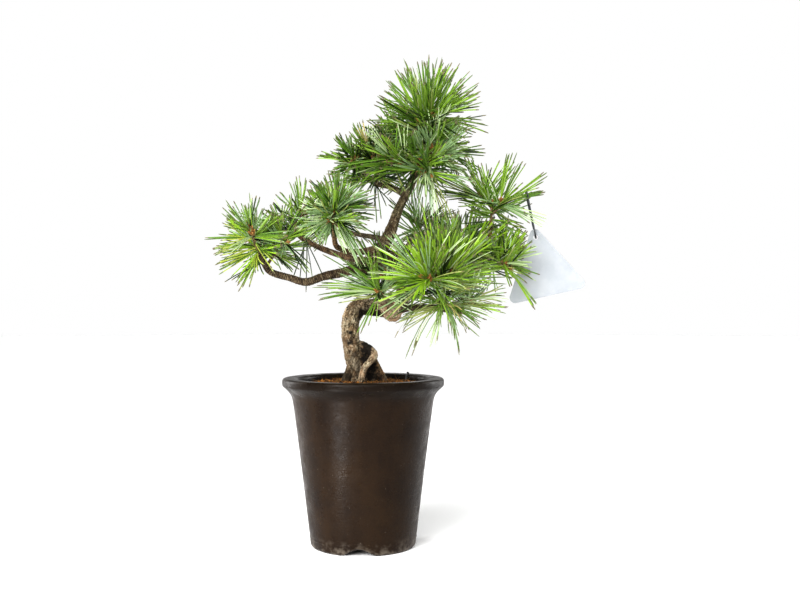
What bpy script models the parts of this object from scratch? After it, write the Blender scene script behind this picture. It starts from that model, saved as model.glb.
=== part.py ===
"""A Japanese white pine grown as a bonsai in a tall brown pot, as separate closed solids.

Metres, +Z up. The origin is the centre of the pot's flat underside, on the surface that
the pot stands on. The front of the tree looks along -Y, and +X is to the right of it.
"""

import math
from dataclasses import dataclass

import bmesh
import bpy
import numpy as np
from mathutils.bvhtree import BVHTree

# Clearance between pieces that touch, and the extra room that a spray keeps to its neighbours
GAP = 0.0003
SPRAY_ROOM = 0.0004
GOLDEN_ANGLE = math.pi * (3 - math.sqrt(5))

# Pot: radius of the wall at its foot and under the lip, the heights, and the thicknesses
POT_SEGMENTS = 36
FOOT_RADIUS = 0.0451
FOOT_ROUND = 0.0034
WALL_FOOT_RADIUS = 0.0486
WALL_TOP_RADIUS = 0.0649
WALL_FOOT_Z = 0.0040
WALL_TOP_Z = 0.1335
WALL_HOLLOW = 0.075
WALL_THICKNESS = 0.0058
FLOOR_THICKNESS = 0.012
INNER_BEND_Z = 0.1382
NECK_RADIUS = 0.0663
NECK_Z = 0.1400
COVE_RADIUS = 0.0715
COVE_Z = 0.1446
LIP_RADIUS = 0.0746
LIP_TOP_Z = 0.1543
LIP_ROUND = 0.0042
MOUTH_RADIUS = 0.0600
MOUTH_FALL = 0.0030

# Three notches in the foot, each running in as a channel to a drain hole
NOTCHES = 3
FIRST_NOTCH_ANGLE = math.radians(-92.8)
NOTCH_WIDTH = 0.038
NOTCH_HEIGHT = 0.006
DRAIN_RADIUS = 0.005
DRAIN_FROM_AXIS = 0.024

# Soil: a low mound, level where the trunk and its roots come out
SOIL_TOP_Z = 0.1505
SOIL_EDGE_Z = 0.1462
SOIL_LEVEL_RADIUS = 0.031

# Trunk from below its cut up to the fork, and the leader from the fork to its tip.
# Each row is x, y, z and the radius there.
TRUNK_CUT_Z = SOIL_TOP_Z + GAP
TRUNK_ROUTE = (
    (-0.0096, 0.000, 0.1400, 0.0112),
    (-0.0102, 0.000, 0.1580, 0.0098),
    (-0.0112, 0.000, 0.1750, 0.0084),
    (-0.0119, 0.000, 0.1930, 0.0079),
    (-0.0112, 0.001, 0.2090, 0.0081),
    (-0.0040, 0.004, 0.2190, 0.0080),
    (0.0080, 0.004, 0.2195, 0.0074),
    (0.0240, -0.001, 0.2160, 0.0092),
    (0.0350, -0.001, 0.2215, 0.0088),
    (0.0395, 0.006, 0.2370, 0.0076),
    (0.0376, 0.010, 0.2520, 0.0074),
    (0.0283, 0.010, 0.2640, 0.0073),
    (0.0171, 0.007, 0.2645, 0.0072),
    (0.0080, 0.002, 0.2594, 0.0066),
)
LEADER_ROUTE = (
    (0.0071, 0.000, 0.2593, 0.0064),
    (0.0229, -0.004, 0.2840, 0.0055),
    (0.0339, 0.000, 0.3129, 0.0040),
    (0.0460, 0.004, 0.3365, 0.0033),
    (0.0552, 0.002, 0.3650, 0.0020),
)
FORK_RADIUS = 0.0070
TRUNK_STEP = 0.0095
BOUGH_STEP = 0.013
BARK_RIPPLE = 0.05
# Surface roots, as the trunk's rows: the bent knee in front, then right, middle, left and back
ROOT_ROUTES = (
    (
        (-0.0060, 0.003, 0.1861, 0.0060),
        (0.0043, 0.000, 0.1844, 0.0056),
        (0.0113, -0.004, 0.1790, 0.0050),
        (0.0101, -0.009, 0.1728, 0.0046),
        (0.0002, -0.015, 0.1604, 0.0040),
        (-0.0030, -0.017, 0.1460, 0.0036),
    ),
    ((0.0060, 0.001, 0.1830, 0.0050), (0.0144, 0.002, 0.1667, 0.0042), (0.0240, 0.005, 0.1460, 0.0030)),
    ((-0.0020, 0.000, 0.1800, 0.0055), (0.0055, 0.000, 0.1650, 0.0055), (0.0092, 0.000, 0.1460, 0.0055)),
    ((-0.0118, 0.000, 0.1725, 0.0058), (-0.0162, -0.002, 0.1614, 0.0046), (-0.0225, -0.004, 0.1460, 0.0032)),
    ((-0.0100, 0.002, 0.1740, 0.0055), (-0.0070, 0.012, 0.1620, 0.0045), (-0.0050, 0.019, 0.1460, 0.0034)),
)

BARK = ("bark", (0.19, 0.135, 0.095), 0.9)
CERAMIC = ("dark_ceramic", (0.033, 0.021, 0.014), 0.42)
EARTH = ("soil", (0.17, 0.09, 0.035), 1.0)
NEEDLE = ("needles", (0.10, 0.22, 0.035), 0.55)
CARD = ("card", (0.85, 0.85, 0.83), 0.6)
TIE = ("tie", (0.03, 0.03, 0.035), 0.5)


@dataclass(frozen=True)
class Bough:
    """A tapering limb: its name, the limb it leaves, its route from inside that limb, its end radii."""

    name: str
    parent: str
    route: tuple
    base_radius: float
    tip_radius: float


@dataclass(frozen=True)
class Mass:
    """A mass of needles on one stem: foot inside the parent limb, end of the stem, needle length."""

    name: str
    parent: str
    foot: tuple
    tip: tuple
    needle: float = 0.052
    sprays: int = 14
    twigs: int = 2
    droop: float = 0.07
    wide: float = 95.0
    carries: tuple = ()


BOUGHS = (
    Bough(
        "left_low",
        "trunk",
        (
            (0.0060, 0.000, 0.2580),
            (-0.0174, -0.008, 0.2516),
            (-0.0360, -0.013, 0.2473),
            (-0.0516, -0.015, 0.2423),
            (-0.0660, -0.017, 0.2460),
            (-0.0828, -0.020, 0.2512),
            (-0.0890, -0.021, 0.2593),
            (-0.0934, -0.022, 0.2685),
        ),
        0.0046,
        0.0026,
    ),
    Bough(
        "left_mid",
        "trunk",
        (
            (0.0080, 0.004, 0.2605),
            (-0.0099, 0.010, 0.2645),
            (-0.0341, 0.020, 0.2724),
            (-0.0556, 0.028, 0.2823),
            (-0.0644, 0.030, 0.2895),
        ),
        0.0033,
        0.0022,
    ),
    Bough(
        "left_front",
        "trunk",
        (
            (0.0150, -0.003, 0.2720),
            (-0.0090, -0.013, 0.2697),
            (-0.0193, -0.024, 0.2718),
            (-0.0241, -0.032, 0.2767),
            (-0.0244, -0.042, 0.2950),
        ),
        0.0030,
        0.0021,
    ),
    Bough(
        "top_left",
        "trunk",
        (
            (0.0390, 0.002, 0.3240),
            (0.0246, 0.002, 0.3307),
            (0.0125, 0.004, 0.3337),
            (0.0005, 0.004, 0.3402),
            (-0.0078, 0.002, 0.3485),
        ),
        0.0024,
        0.0020,
    ),
    Bough(
        "right",
        "trunk",
        (
            (0.0386, 0.006, 0.2390),
            (0.0544, 0.008, 0.2410),
            (0.0714, 0.012, 0.2448),
            (0.0901, 0.012, 0.2485),
            (0.1075, 0.010, 0.2520),
        ),
        0.0033,
        0.0023,
    ),
    Bough(
        "right_high",
        "right",
        (
            (0.1010, 0.011, 0.2507),
            (0.1090, 0.010, 0.2590),
            (0.1166, 0.004, 0.2817),
            (0.1182, 0.002, 0.2975),
        ),
        0.0022,
        0.0018,
    ),
    Bough(
        "right_front",
        "trunk",
        (
            (0.0300, -0.001, 0.2175),
            (0.0466, -0.020, 0.2150),
            (0.0606, -0.036, 0.2169),
            (0.0735, -0.046, 0.2178),
            (0.0872, -0.052, 0.2135),
        ),
        0.0034,
        0.0027,
    ),
    Bough(
        "low_front",
        "trunk",
        ((0.0330, -0.001, 0.2220), (0.0270, -0.015, 0.2270), (0.0210, -0.026, 0.2294)),
        0.0024,
        0.0019,
    ),
    Bough(
        "back",
        "trunk",
        ((0.0340, 0.010, 0.2580), (0.0360, 0.030, 0.2680), (0.0420, 0.046, 0.2800), (0.0486, 0.058, 0.2920)),
        0.0028,
        0.0018,
    ),
    Bough(
        "back_left",
        "trunk",
        (
            (0.0205, -0.003, 0.2800),
            (0.0100, 0.015, 0.2850),
            (-0.0100, 0.040, 0.2900),
            (-0.0240, 0.055, 0.2960),
        ),
        0.0025,
        0.0017,
    ),
    Bough(
        "top_back",
        "trunk",
        ((0.0460, 0.004, 0.3365), (0.0455, 0.018, 0.3430), (0.0454, 0.033, 0.3500)),
        0.0021,
        0.0018,
    ),
    Bough(
        "low_back",
        "trunk",
        ((0.0100, 0.004, 0.2195), (0.0120, 0.024, 0.2230), (0.0140, 0.040, 0.2320)),
        0.0024,
        0.0018,
    ),
)

MASSES = (
    Mass("apex", "trunk", (0.0550, 0.002, 0.3620), (0.0598, 0.000, 0.4070), 0.058, 22, 3),
    Mass("crown_front_left", "trunk", (0.0488, 0.004, 0.3425), (0.0366, -0.024, 0.3490), 0.050),
    Mass("crown_front_right", "trunk", (0.0512, 0.003, 0.3500), (0.0615, -0.026, 0.3500), 0.050),
    Mass("crown_right", "trunk", (0.0535, 0.002, 0.3570), (0.0720, 0.006, 0.3690), 0.046),
    Mass("crown_left", "trunk", (0.0540, 0.002, 0.3595), (0.0320, 0.010, 0.3720), 0.048),
    Mass("top_left_outer", "top_left", (-0.0074, 0.002, 0.3480), (-0.0123, 0.000, 0.3610), 0.040),
    Mass("top_left_inner", "top_left", (0.0130, 0.004, 0.3337), (0.0097, 0.010, 0.3560), 0.044),
    Mass("left_front", "left_front", (-0.0244, -0.041, 0.2930), (-0.0246, -0.056, 0.3070), 0.056, 18),
    Mass("left_back", "left_mid", (-0.0633, 0.030, 0.2880), (-0.0700, 0.037, 0.3030), 0.050, 16),
    Mass("left_far", "left_low", (-0.0927, -0.022, 0.2670), (-0.0990, -0.025, 0.2840), 0.047, 17),
    Mass("left_far_inner", "left_low", (-0.0870, -0.021, 0.2565), (-0.0770, -0.012, 0.2800), 0.045),
    Mass(
        "right_high",
        "right_high",
        (0.1181, 0.002, 0.2960),
        (0.1190, 0.000, 0.3160),
        0.050,
        16,
        carries=(0.1680, 0.002, 0.3270),
    ),
    Mass("right_mid", "right", (0.0880, 0.012, 0.2481), (0.0960, 0.020, 0.2710), 0.050),
    Mass("right_outer", "right", (0.1060, 0.010, 0.2517), (0.1260, 0.005, 0.2620), 0.050),
    Mass("right_back", "right", (0.0800, 0.012, 0.2465), (0.0840, 0.044, 0.2620), 0.048),
    Mass("centre_back", "right", (0.0660, 0.011, 0.2436), (0.0640, 0.028, 0.2730), 0.048),
    Mass("right_front", "right_front", (0.0710, -0.044, 0.2177), (0.0660, -0.058, 0.2456), 0.056, 20),
    Mass(
        "right_low",
        "right_front",
        (0.0790, -0.048, 0.2165),
        (0.0770, -0.056, 0.2040),
        0.048,
        13,
        droop=0.22,
    ),
    Mass("right_low_outer", "right_front", (0.0835, -0.050, 0.2150), (0.0950, -0.046, 0.2240), 0.044, 12),
    Mass("low_front", "low_front", (0.0220, -0.025, 0.2290), (0.0135, -0.036, 0.2340), 0.054, 16),
    Mass("low_centre", "trunk", (0.0393, 0.006, 0.2410), (0.0310, -0.013, 0.2430), 0.044, 10),
    Mass("back", "back", (0.0480, 0.057, 0.2910), (0.0550, 0.070, 0.3050), 0.050),
    Mass("back_left", "back_left", (-0.0230, 0.054, 0.2955), (-0.0320, 0.067, 0.3040), 0.050),
    Mass("top_back", "top_back", (0.0454, 0.032, 0.3495), (0.0460, 0.048, 0.3640), 0.048),
    Mass("low_back", "low_back", (0.0140, 0.039, 0.2315), (0.0120, 0.056, 0.2440), 0.048),
)

# Stems and twigs of a mass
STEM_RADIUS = 0.0015
STEM_TIP_RADIUS = 0.0012
TWIG_RADIUS = 0.0013
TWIG_TIP_RADIUS = 0.0009
TWIG_LENGTH = 0.36
FIRST_TWIG_AT = 0.45
LAST_TWIG_AT = 0.75
TWIG_ANGLE = math.radians(48)
SHOOT_SIDES = 3
# A spray of needles: a slim core that splits into three needles
SPRAY_ROOT = 0.0006
SPRAY_FORK = 0.0013
SPRAY_FORK_AT = 0.30
SPRAY_SPREAD = 0.10
SPRAY_NARROW = math.radians(16)
# More sprays are planned than a mass keeps, because some find no room
SPRAYS_PLANNED = 1.7
# The stretch of a shoot that bears sprays, how much of a needle's length counts as shoot when
# sprays are shared out, the curve of the polar angle along a shoot, and the shortest spray
BEARS_FROM = 0.42
BEARS_TO = 0.96
SHARE_FOR_NEEDLE = 0.6
POLAR_CURVE = 0.8
SHORTEST_SPRAY = 0.88
FIRST_SEED = 100
NEIGHBOUR_REACH = 0.09

# Tag: a bare triangular card with round corners, hung by a tie from a spray of the right tuft
TAG_CENTRE = (0.1673, 0.006, 0.2521)
TAG_SIDE = 0.079
TAG_CORNER = 0.005
TAG_TURN = math.radians(12.4)
TAG_THICKNESS = 0.0008
TAG_HOLE_RADIUS = 0.0023
TAG_HOLE_FROM_CENTRE = 0.033
TIE_RADIUS = 0.0007
TIE_LOOP_LOW = 0.0016
TIE_LOOP_HIGH = 0.0046
TIE_LOWERED = 0.0003
TIE_TOP_AT = 0.66


def clear_scene():
    for obj in list(bpy.data.objects):
        bpy.data.objects.remove(obj, do_unlink=True)


def material(finish):
    """The Principled material of this name, colour and roughness, made once."""
    name, colour, roughness = finish
    if name in bpy.data.materials:
        return bpy.data.materials[name]
    made = bpy.data.materials.new(name)
    made.use_nodes = True
    shader = made.node_tree.nodes["Principled BSDF"]
    shader.inputs["Base Color"].default_value = (*colour, 1)
    shader.inputs["Roughness"].default_value = roughness
    return made


def mesh_object(name, shell, finish):
    """An object from a closed shell (points, faces), triangulated, with its normals facing out."""
    mesh = bpy.data.meshes.new(name)
    mesh.from_pydata([tuple(point) for point in shell[0]], [], shell[1])
    build = bmesh.new()
    build.from_mesh(mesh)
    bmesh.ops.triangulate(build, faces=build.faces)
    bmesh.ops.recalc_face_normals(build, faces=build.faces)
    build.to_mesh(mesh)
    build.free()
    obj = bpy.data.objects.new(name, mesh)
    obj.data.materials.append(material(finish))
    bpy.context.scene.collection.objects.link(obj)
    return obj


def boolean(body, shells, operation, solver="EXACT"):
    """The body joined with, or cut by, every shell, through one Boolean on a collection, applied."""
    helpers = bpy.data.collections.new("helpers")
    bpy.context.scene.collection.children.link(helpers)
    for shell in shells:
        helper = mesh_object("helper", shell, BARK)
        bpy.context.scene.collection.objects.unlink(helper)
        helpers.objects.link(helper)
    modifier = body.modifiers.new(operation.lower(), "BOOLEAN")
    modifier.operand_type = "COLLECTION"
    modifier.collection = helpers
    modifier.operation = operation
    modifier.solver = solver
    bpy.context.view_layer.update()
    applied = bpy.data.meshes.new_from_object(body.evaluated_get(bpy.context.evaluated_depsgraph_get()))
    body.modifiers.clear()
    body.data = applied
    body.data.materials.clear()
    body.data.materials.append(material(BARK))
    for helper in list(helpers.objects):
        bpy.data.objects.remove(helper, do_unlink=True)
    bpy.data.collections.remove(helpers)
    return body


def drop_scraps(obj):
    """Only the largest connected body kept, where coping a limb left a scrap beside it."""
    build = bmesh.new()
    build.from_mesh(obj.data)
    left, bodies = set(build.verts), []
    while left:
        body = {left.pop()}
        edge = set(body)
        while edge:
            edge = {e.other_vert(v) for v in edge for e in v.link_edges} - body
            body |= edge
        left -= body
        bodies.append(body)
    bodies.sort(key=len)
    bmesh.ops.delete(build, geom=[vert for body in bodies[:-1] for vert in body], context="VERTS")
    build.to_mesh(obj.data)
    build.free()


def dress(obj, finish, smooth=True):
    """The object with this one material, shaded smooth up to a sharp edge of 40 degrees."""
    obj.data.materials.clear()
    obj.data.materials.append(material(finish))
    if smooth:
        obj.data.shade_smooth()
        obj.data.set_sharp_from_angle(angle=math.radians(40))


def unit(vector):
    return vector / np.linalg.norm(vector)


def across(along):
    """Two unit vectors square to this one and to each other."""
    helper = np.array((0.0, 0.0, 1.0)) if abs(along[2]) < 0.9 else np.array((1.0, 0.0, 0.0))
    side = unit(np.cross(helper, along))
    return side, np.cross(along, side)


def smooth_rows(rows, step):
    """A Catmull-Rom curve through the rows, sampled about every step; a fourth column rides along."""
    rows = np.array(rows, float)
    rows = np.vstack([2 * rows[0] - rows[1], rows, 2 * rows[-1] - rows[-2]])
    found = []
    for a, b, c, d in zip(rows, rows[1:], rows[2:], rows[3:]):
        spans = max(1, round(np.linalg.norm((c - b)[:3]) / step))
        t = np.arange(spans)[:, None] / spans
        cubic = 1.5 * (b - c) + 0.5 * (d - a)
        found.append(b + 0.5 * t * (c - a) + t**2 * (a - 2.5 * b + 2 * c - 0.5 * d) + t**3 * cubic)
    return np.vstack([*found, rows[-2:-1]])


def tube(path, radii, sides, extra=0.0, ripple=0.0):
    """A closed tube round a path, its rings carried along without twist, grown by extra all over."""
    path = np.array(path, float)
    tangents = np.gradient(path, axis=0)
    path[0] -= extra * unit(tangents[0])
    path[-1] += extra * unit(tangents[-1])
    side = across(unit(tangents[0]))[0]
    turns = 2 * math.pi * np.arange(sides) / sides
    points = []
    for number, (centre, tangent, radius) in enumerate(zip(path, tangents, radii)):
        along = unit(tangent)
        side = unit(side - along * (side @ along))
        wave = 1 + ripple * np.sin(3 * turns + 1.7 * number) * np.cos(2 * turns - number)
        ring = (radius * wave + extra)[:, None] * (
            np.cos(turns)[:, None] * side + np.sin(turns)[:, None] * np.cross(along, side)
        )
        points.extend(centre + ring)
    faces = [tuple(range(sides))[::-1], tuple(range(len(points) - sides, len(points)))]
    for first in range(0, len(points) - sides, sides):
        for k in range(sides):
            after = (k + 1) % sides
            faces.append((first + k, first + after, first + sides + after, first + sides + k))
    return points, faces


def ball(centre, radius):
    """A round knot as an icosphere."""
    build = bmesh.new()
    bmesh.ops.create_icosphere(build, subdivisions=2, radius=radius)
    points = [np.array(vert.co) + np.array(centre) for vert in build.verts]
    faces = [tuple(vert.index for vert in face.verts) for face in build.faces]
    build.free()
    return points, faces


def turned(name, profile, finish):
    """A solid turned round the Z axis from a profile of (radius, z) that starts and ends on the axis."""
    build = bmesh.new()
    verts = [build.verts.new((radius, 0, z)) for radius, z in profile]
    edges = [build.edges.new(pair) for pair in zip(verts, verts[1:])]
    bmesh.ops.spin(
        build,
        geom=verts + edges,
        axis=(0, 0, 1),
        cent=(0, 0, 0),
        steps=POT_SEGMENTS,
        angle=2 * math.pi,
    )
    bmesh.ops.remove_doubles(build, verts=build.verts, dist=1e-6)
    bmesh.ops.recalc_face_normals(build, faces=build.faces)
    bmesh.ops.triangulate(build, faces=build.faces)
    mesh = bpy.data.meshes.new(name)
    build.to_mesh(mesh)
    build.free()
    obj = bpy.data.objects.new(name, mesh)
    obj.data.materials.append(material(finish))
    bpy.context.scene.collection.objects.link(obj)
    return obj


def arc(centre, radius, first, last, steps):
    """Points (r, z) on a round stretch of a profile, by angle in degrees."""
    angles = np.radians(np.linspace(first, last, steps + 1))
    return [(centre[0] + radius * math.cos(a), centre[1] + radius * math.sin(a)) for a in angles]


def wall_radius(z):
    """Outer radius of the pot's wall at a height: it opens slightly more towards the lip."""
    rise = (z - WALL_FOOT_Z) / (WALL_TOP_Z - WALL_FOOT_Z)
    opening = rise * (1 - WALL_HOLLOW) + WALL_HOLLOW * rise**2
    return WALL_FOOT_RADIUS + (WALL_TOP_RADIUS - WALL_FOOT_RADIUS) * opening


def inner_radius(z):
    return wall_radius(z) - WALL_THICKNESS


def notch_cutter(angle):
    """A wedge that narrows towards the axis, with a section that rises and falls as a squared cosine."""
    outward = np.array((math.cos(angle), math.sin(angle), 0.0))
    sideways = np.array((-math.sin(angle), math.cos(angle), 0.0))
    section = [(t, NOTCH_HEIGHT * math.cos(math.pi * t / 2) ** 2 - GAP) for t in np.linspace(-1, 1, 7)]
    section += [(1, -NOTCH_HEIGHT), (-1, -NOTCH_HEIGHT)]
    points = []
    for distance in (DRAIN_FROM_AXIS - DRAIN_RADIUS, WALL_FOOT_RADIUS * 1.2):
        half = 0.5 * NOTCH_WIDTH * distance / WALL_FOOT_RADIUS
        points += [outward * distance + sideways * half * t + np.array((0, 0, z)) for t, z in section]
    count = len(section)
    faces = [tuple(range(count)), tuple(range(2 * count - 1, count - 1, -1))]
    faces += [(k, (k + 1) % count, count + (k + 1) % count, count + k) for k in range(count)]
    return points, faces


def make_pot():
    lip_centre = (LIP_RADIUS - LIP_ROUND, LIP_TOP_Z - LIP_ROUND)
    profile = [(0, 0), (FOOT_RADIUS, 0)]
    profile += arc((FOOT_RADIUS, FOOT_ROUND), FOOT_ROUND, -50, 0, 1)
    profile += [(wall_radius(z), z) for z in np.linspace(3 * WALL_FOOT_Z, WALL_TOP_Z, 4)]
    profile += [(NECK_RADIUS, NECK_Z), (COVE_RADIUS, COVE_Z)]
    profile += arc(lip_centre, LIP_ROUND, -28, 90, 3)
    profile += [(MOUTH_RADIUS + MOUTH_FALL, LIP_TOP_Z - GAP), (MOUTH_RADIUS, LIP_TOP_Z - MOUTH_FALL)]
    profile += [(inner_radius(z), z) for z in (INNER_BEND_Z, FLOOR_THICKNESS)]
    profile.append((0, FLOOR_THICKNESS))
    pot = turned("pot", profile, CERAMIC)
    cutters = []
    for number in range(NOTCHES):
        angle = FIRST_NOTCH_ANGLE + number * 2 * math.pi / NOTCHES
        hole = np.array((DRAIN_FROM_AXIS * math.cos(angle), DRAIN_FROM_AXIS * math.sin(angle), 0.0))
        ends = [hole + (0, 0, NOTCH_HEIGHT / 4), hole + (0, 0, FLOOR_THICKNESS + NOTCH_HEIGHT / 4)]
        cutters += [notch_cutter(angle), tube(ends, (DRAIN_RADIUS, DRAIN_RADIUS), 8)]
    dress(boolean(pot, cutters, "DIFFERENCE"), CERAMIC)
    return pot


def make_soil():
    bottom = FLOOR_THICKNESS + GAP
    profile = [(0, bottom), (inner_radius(bottom) - GAP, bottom)]
    profile.append((inner_radius(INNER_BEND_Z) - GAP, INNER_BEND_Z))
    profile.append((MOUTH_RADIUS - 2 * GAP, SOIL_EDGE_Z))
    fall = SOIL_TOP_Z - SOIL_EDGE_Z
    for share in (0.66, 0.33):
        radius = SOIL_LEVEL_RADIUS + (MOUTH_RADIUS - SOIL_LEVEL_RADIUS) * share
        profile.append((radius, SOIL_TOP_Z - fall * share**2))
    profile += [(SOIL_LEVEL_RADIUS, SOIL_TOP_Z), (0, SOIL_TOP_Z)]
    return turned("soil", profile, EARTH)


def trunk_shells(extra=0.0):
    """The trunk's own tubes and its fork, grown by extra where they serve to cope a bough."""
    trunk = smooth_rows(TRUNK_ROUTE, TRUNK_STEP)
    leader = smooth_rows(LEADER_ROUTE, BOUGH_STEP)
    return [
        tube(trunk[:, :3], trunk[:, 3], 9, extra, BARK_RIPPLE),
        tube(leader[:, :3], leader[:, 3], 7, extra, BARK_RIPPLE),
        ball(TRUNK_ROUTE[-1][:3], FORK_RADIUS + extra),
    ]


def make_trunk():
    shells = trunk_shells()
    for route in ROOT_ROUTES:
        rows = smooth_rows(route, TRUNK_STEP)
        shells.append(tube(rows[:, :3], rows[:, 3], 5, 0.0, BARK_RIPPLE))
    trunk = boolean(mesh_object("trunk", shells[0], BARK), shells[1:], "UNION")
    cut_flat(trunk, TRUNK_CUT_Z)
    dress(trunk, BARK)
    return trunk


def cut_flat(obj, z):
    """Everything under this height taken off, and the cut closed flat."""
    build = bmesh.new()
    build.from_mesh(obj.data)
    geometry = build.verts[:] + build.edges[:] + build.faces[:]
    bmesh.ops.bisect_plane(build, geom=geometry, plane_co=(0, 0, z), plane_no=(0, 0, 1), clear_inner=True)
    rim = [edge for edge in build.edges if edge.is_boundary]
    bmesh.ops.holes_fill(build, edges=rim)
    bmesh.ops.triangulate(build, faces=build.faces)
    bmesh.ops.recalc_face_normals(build, faces=build.faces)
    build.to_mesh(obj.data)
    build.free()


def bough_shell(bough, extra=0.0):
    path = smooth_rows(bough.route, BOUGH_STEP)
    radii = np.linspace(bough.base_radius, bough.tip_radius, len(path))
    return tube(path, radii, 6, extra, BARK_RIPPLE)


def parent_shells(name):
    """The limb of this name grown by the clearance, which copes what leaves it."""
    if name == "trunk":
        return trunk_shells(GAP)
    return [bough_shell(bough, GAP) for bough in BOUGHS if bough.name == name]


def tree_of(shell):
    return BVHTree.FromPolygons([tuple(point) for point in shell[0]], shell[1])


def needle_tree(shell):
    """The tree of a spray's needles alone, without the core that they share."""
    return BVHTree.FromPolygons([tuple(point) for point in shell[0]], [f for f in shell[1] if max(f) > 5])


def object_tree(obj):
    mesh = obj.data
    return BVHTree.FromPolygons([v.co for v in mesh.vertices], [p.vertices for p in mesh.polygons])


def make_bough(bough):
    made = mesh_object("bough_" + bough.name, bough_shell(bough), BARK)
    boolean(made, parent_shells(bough.parent), "DIFFERENCE")
    drop_scraps(made)
    dress(made, BARK)
    return made


def turned_from(along, azimuth, polar):
    """The direction at this polar angle from a shoot, turned about it by the azimuth."""
    side, up = across(along)
    return math.cos(polar) * along + math.sin(polar) * (math.cos(azimuth) * side + math.sin(azimuth) * up)


def shoots_of(mass, rng):
    """The stem of a mass and the twigs that branch from it: start, end and the radius at each."""
    foot, tip = np.array(mass.foot), np.array(mass.tip)
    along = unit(tip - foot)
    found = [(foot, tip, STEM_RADIUS, STEM_TIP_RADIUS)]
    phase = rng.uniform(0, 2 * math.pi)
    for number in range(mass.twigs):
        share = FIRST_TWIG_AT + (LAST_TWIG_AT - FIRST_TWIG_AT) * number / max(1, mass.twigs - 1)
        start = foot + (tip - foot) * share
        heading = turned_from(along, phase + number * 2 * math.pi / mass.twigs, TWIG_ANGLE)
        end = start + heading * mass.needle * TWIG_LENGTH
        found.append((start, end, TWIG_RADIUS, TWIG_TIP_RADIUS))
    return found


def spray_shell(root, heading, length, droop, roll, extra=0.0):
    """A slim three-sided core that splits into three needles, bent down by its droop."""
    side, up = across(heading)
    fall = np.array((0.0, 0.0, -droop * length))
    fork = root + heading * length * SPRAY_FORK_AT + fall * SPRAY_FORK_AT**2
    hub = fork + heading * (SPRAY_FORK * 1.5 + extra)
    end = root + heading * (length + extra) + fall
    points, tips = [], []
    for ring, radius in ((root, SPRAY_ROOT + extra), (fork, SPRAY_FORK + 2 * extra)):
        for k in range(3):
            turn = roll + 2 * math.pi * k / 3
            points.append(ring + radius * (math.cos(turn) * side + math.sin(turn) * up))
    for k in range(3):
        turn = roll + 2 * math.pi * (k + 0.5) / 3
        offset = math.cos(turn) * side + math.sin(turn) * up
        tips.append(end + offset * length * SPRAY_SPREAD)
    points += [hub, *tips]
    faces = [(2, 1, 0)]
    for k in range(3):
        after = (k + 1) % 3
        faces += [(k, after, 3 + after), (k, 3 + after, 3 + k)]
        faces += [(3 + k, 3 + after, 7 + k), (3 + after, 6, 7 + k), (6, 3 + k, 7 + k)]
    return points, faces


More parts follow.
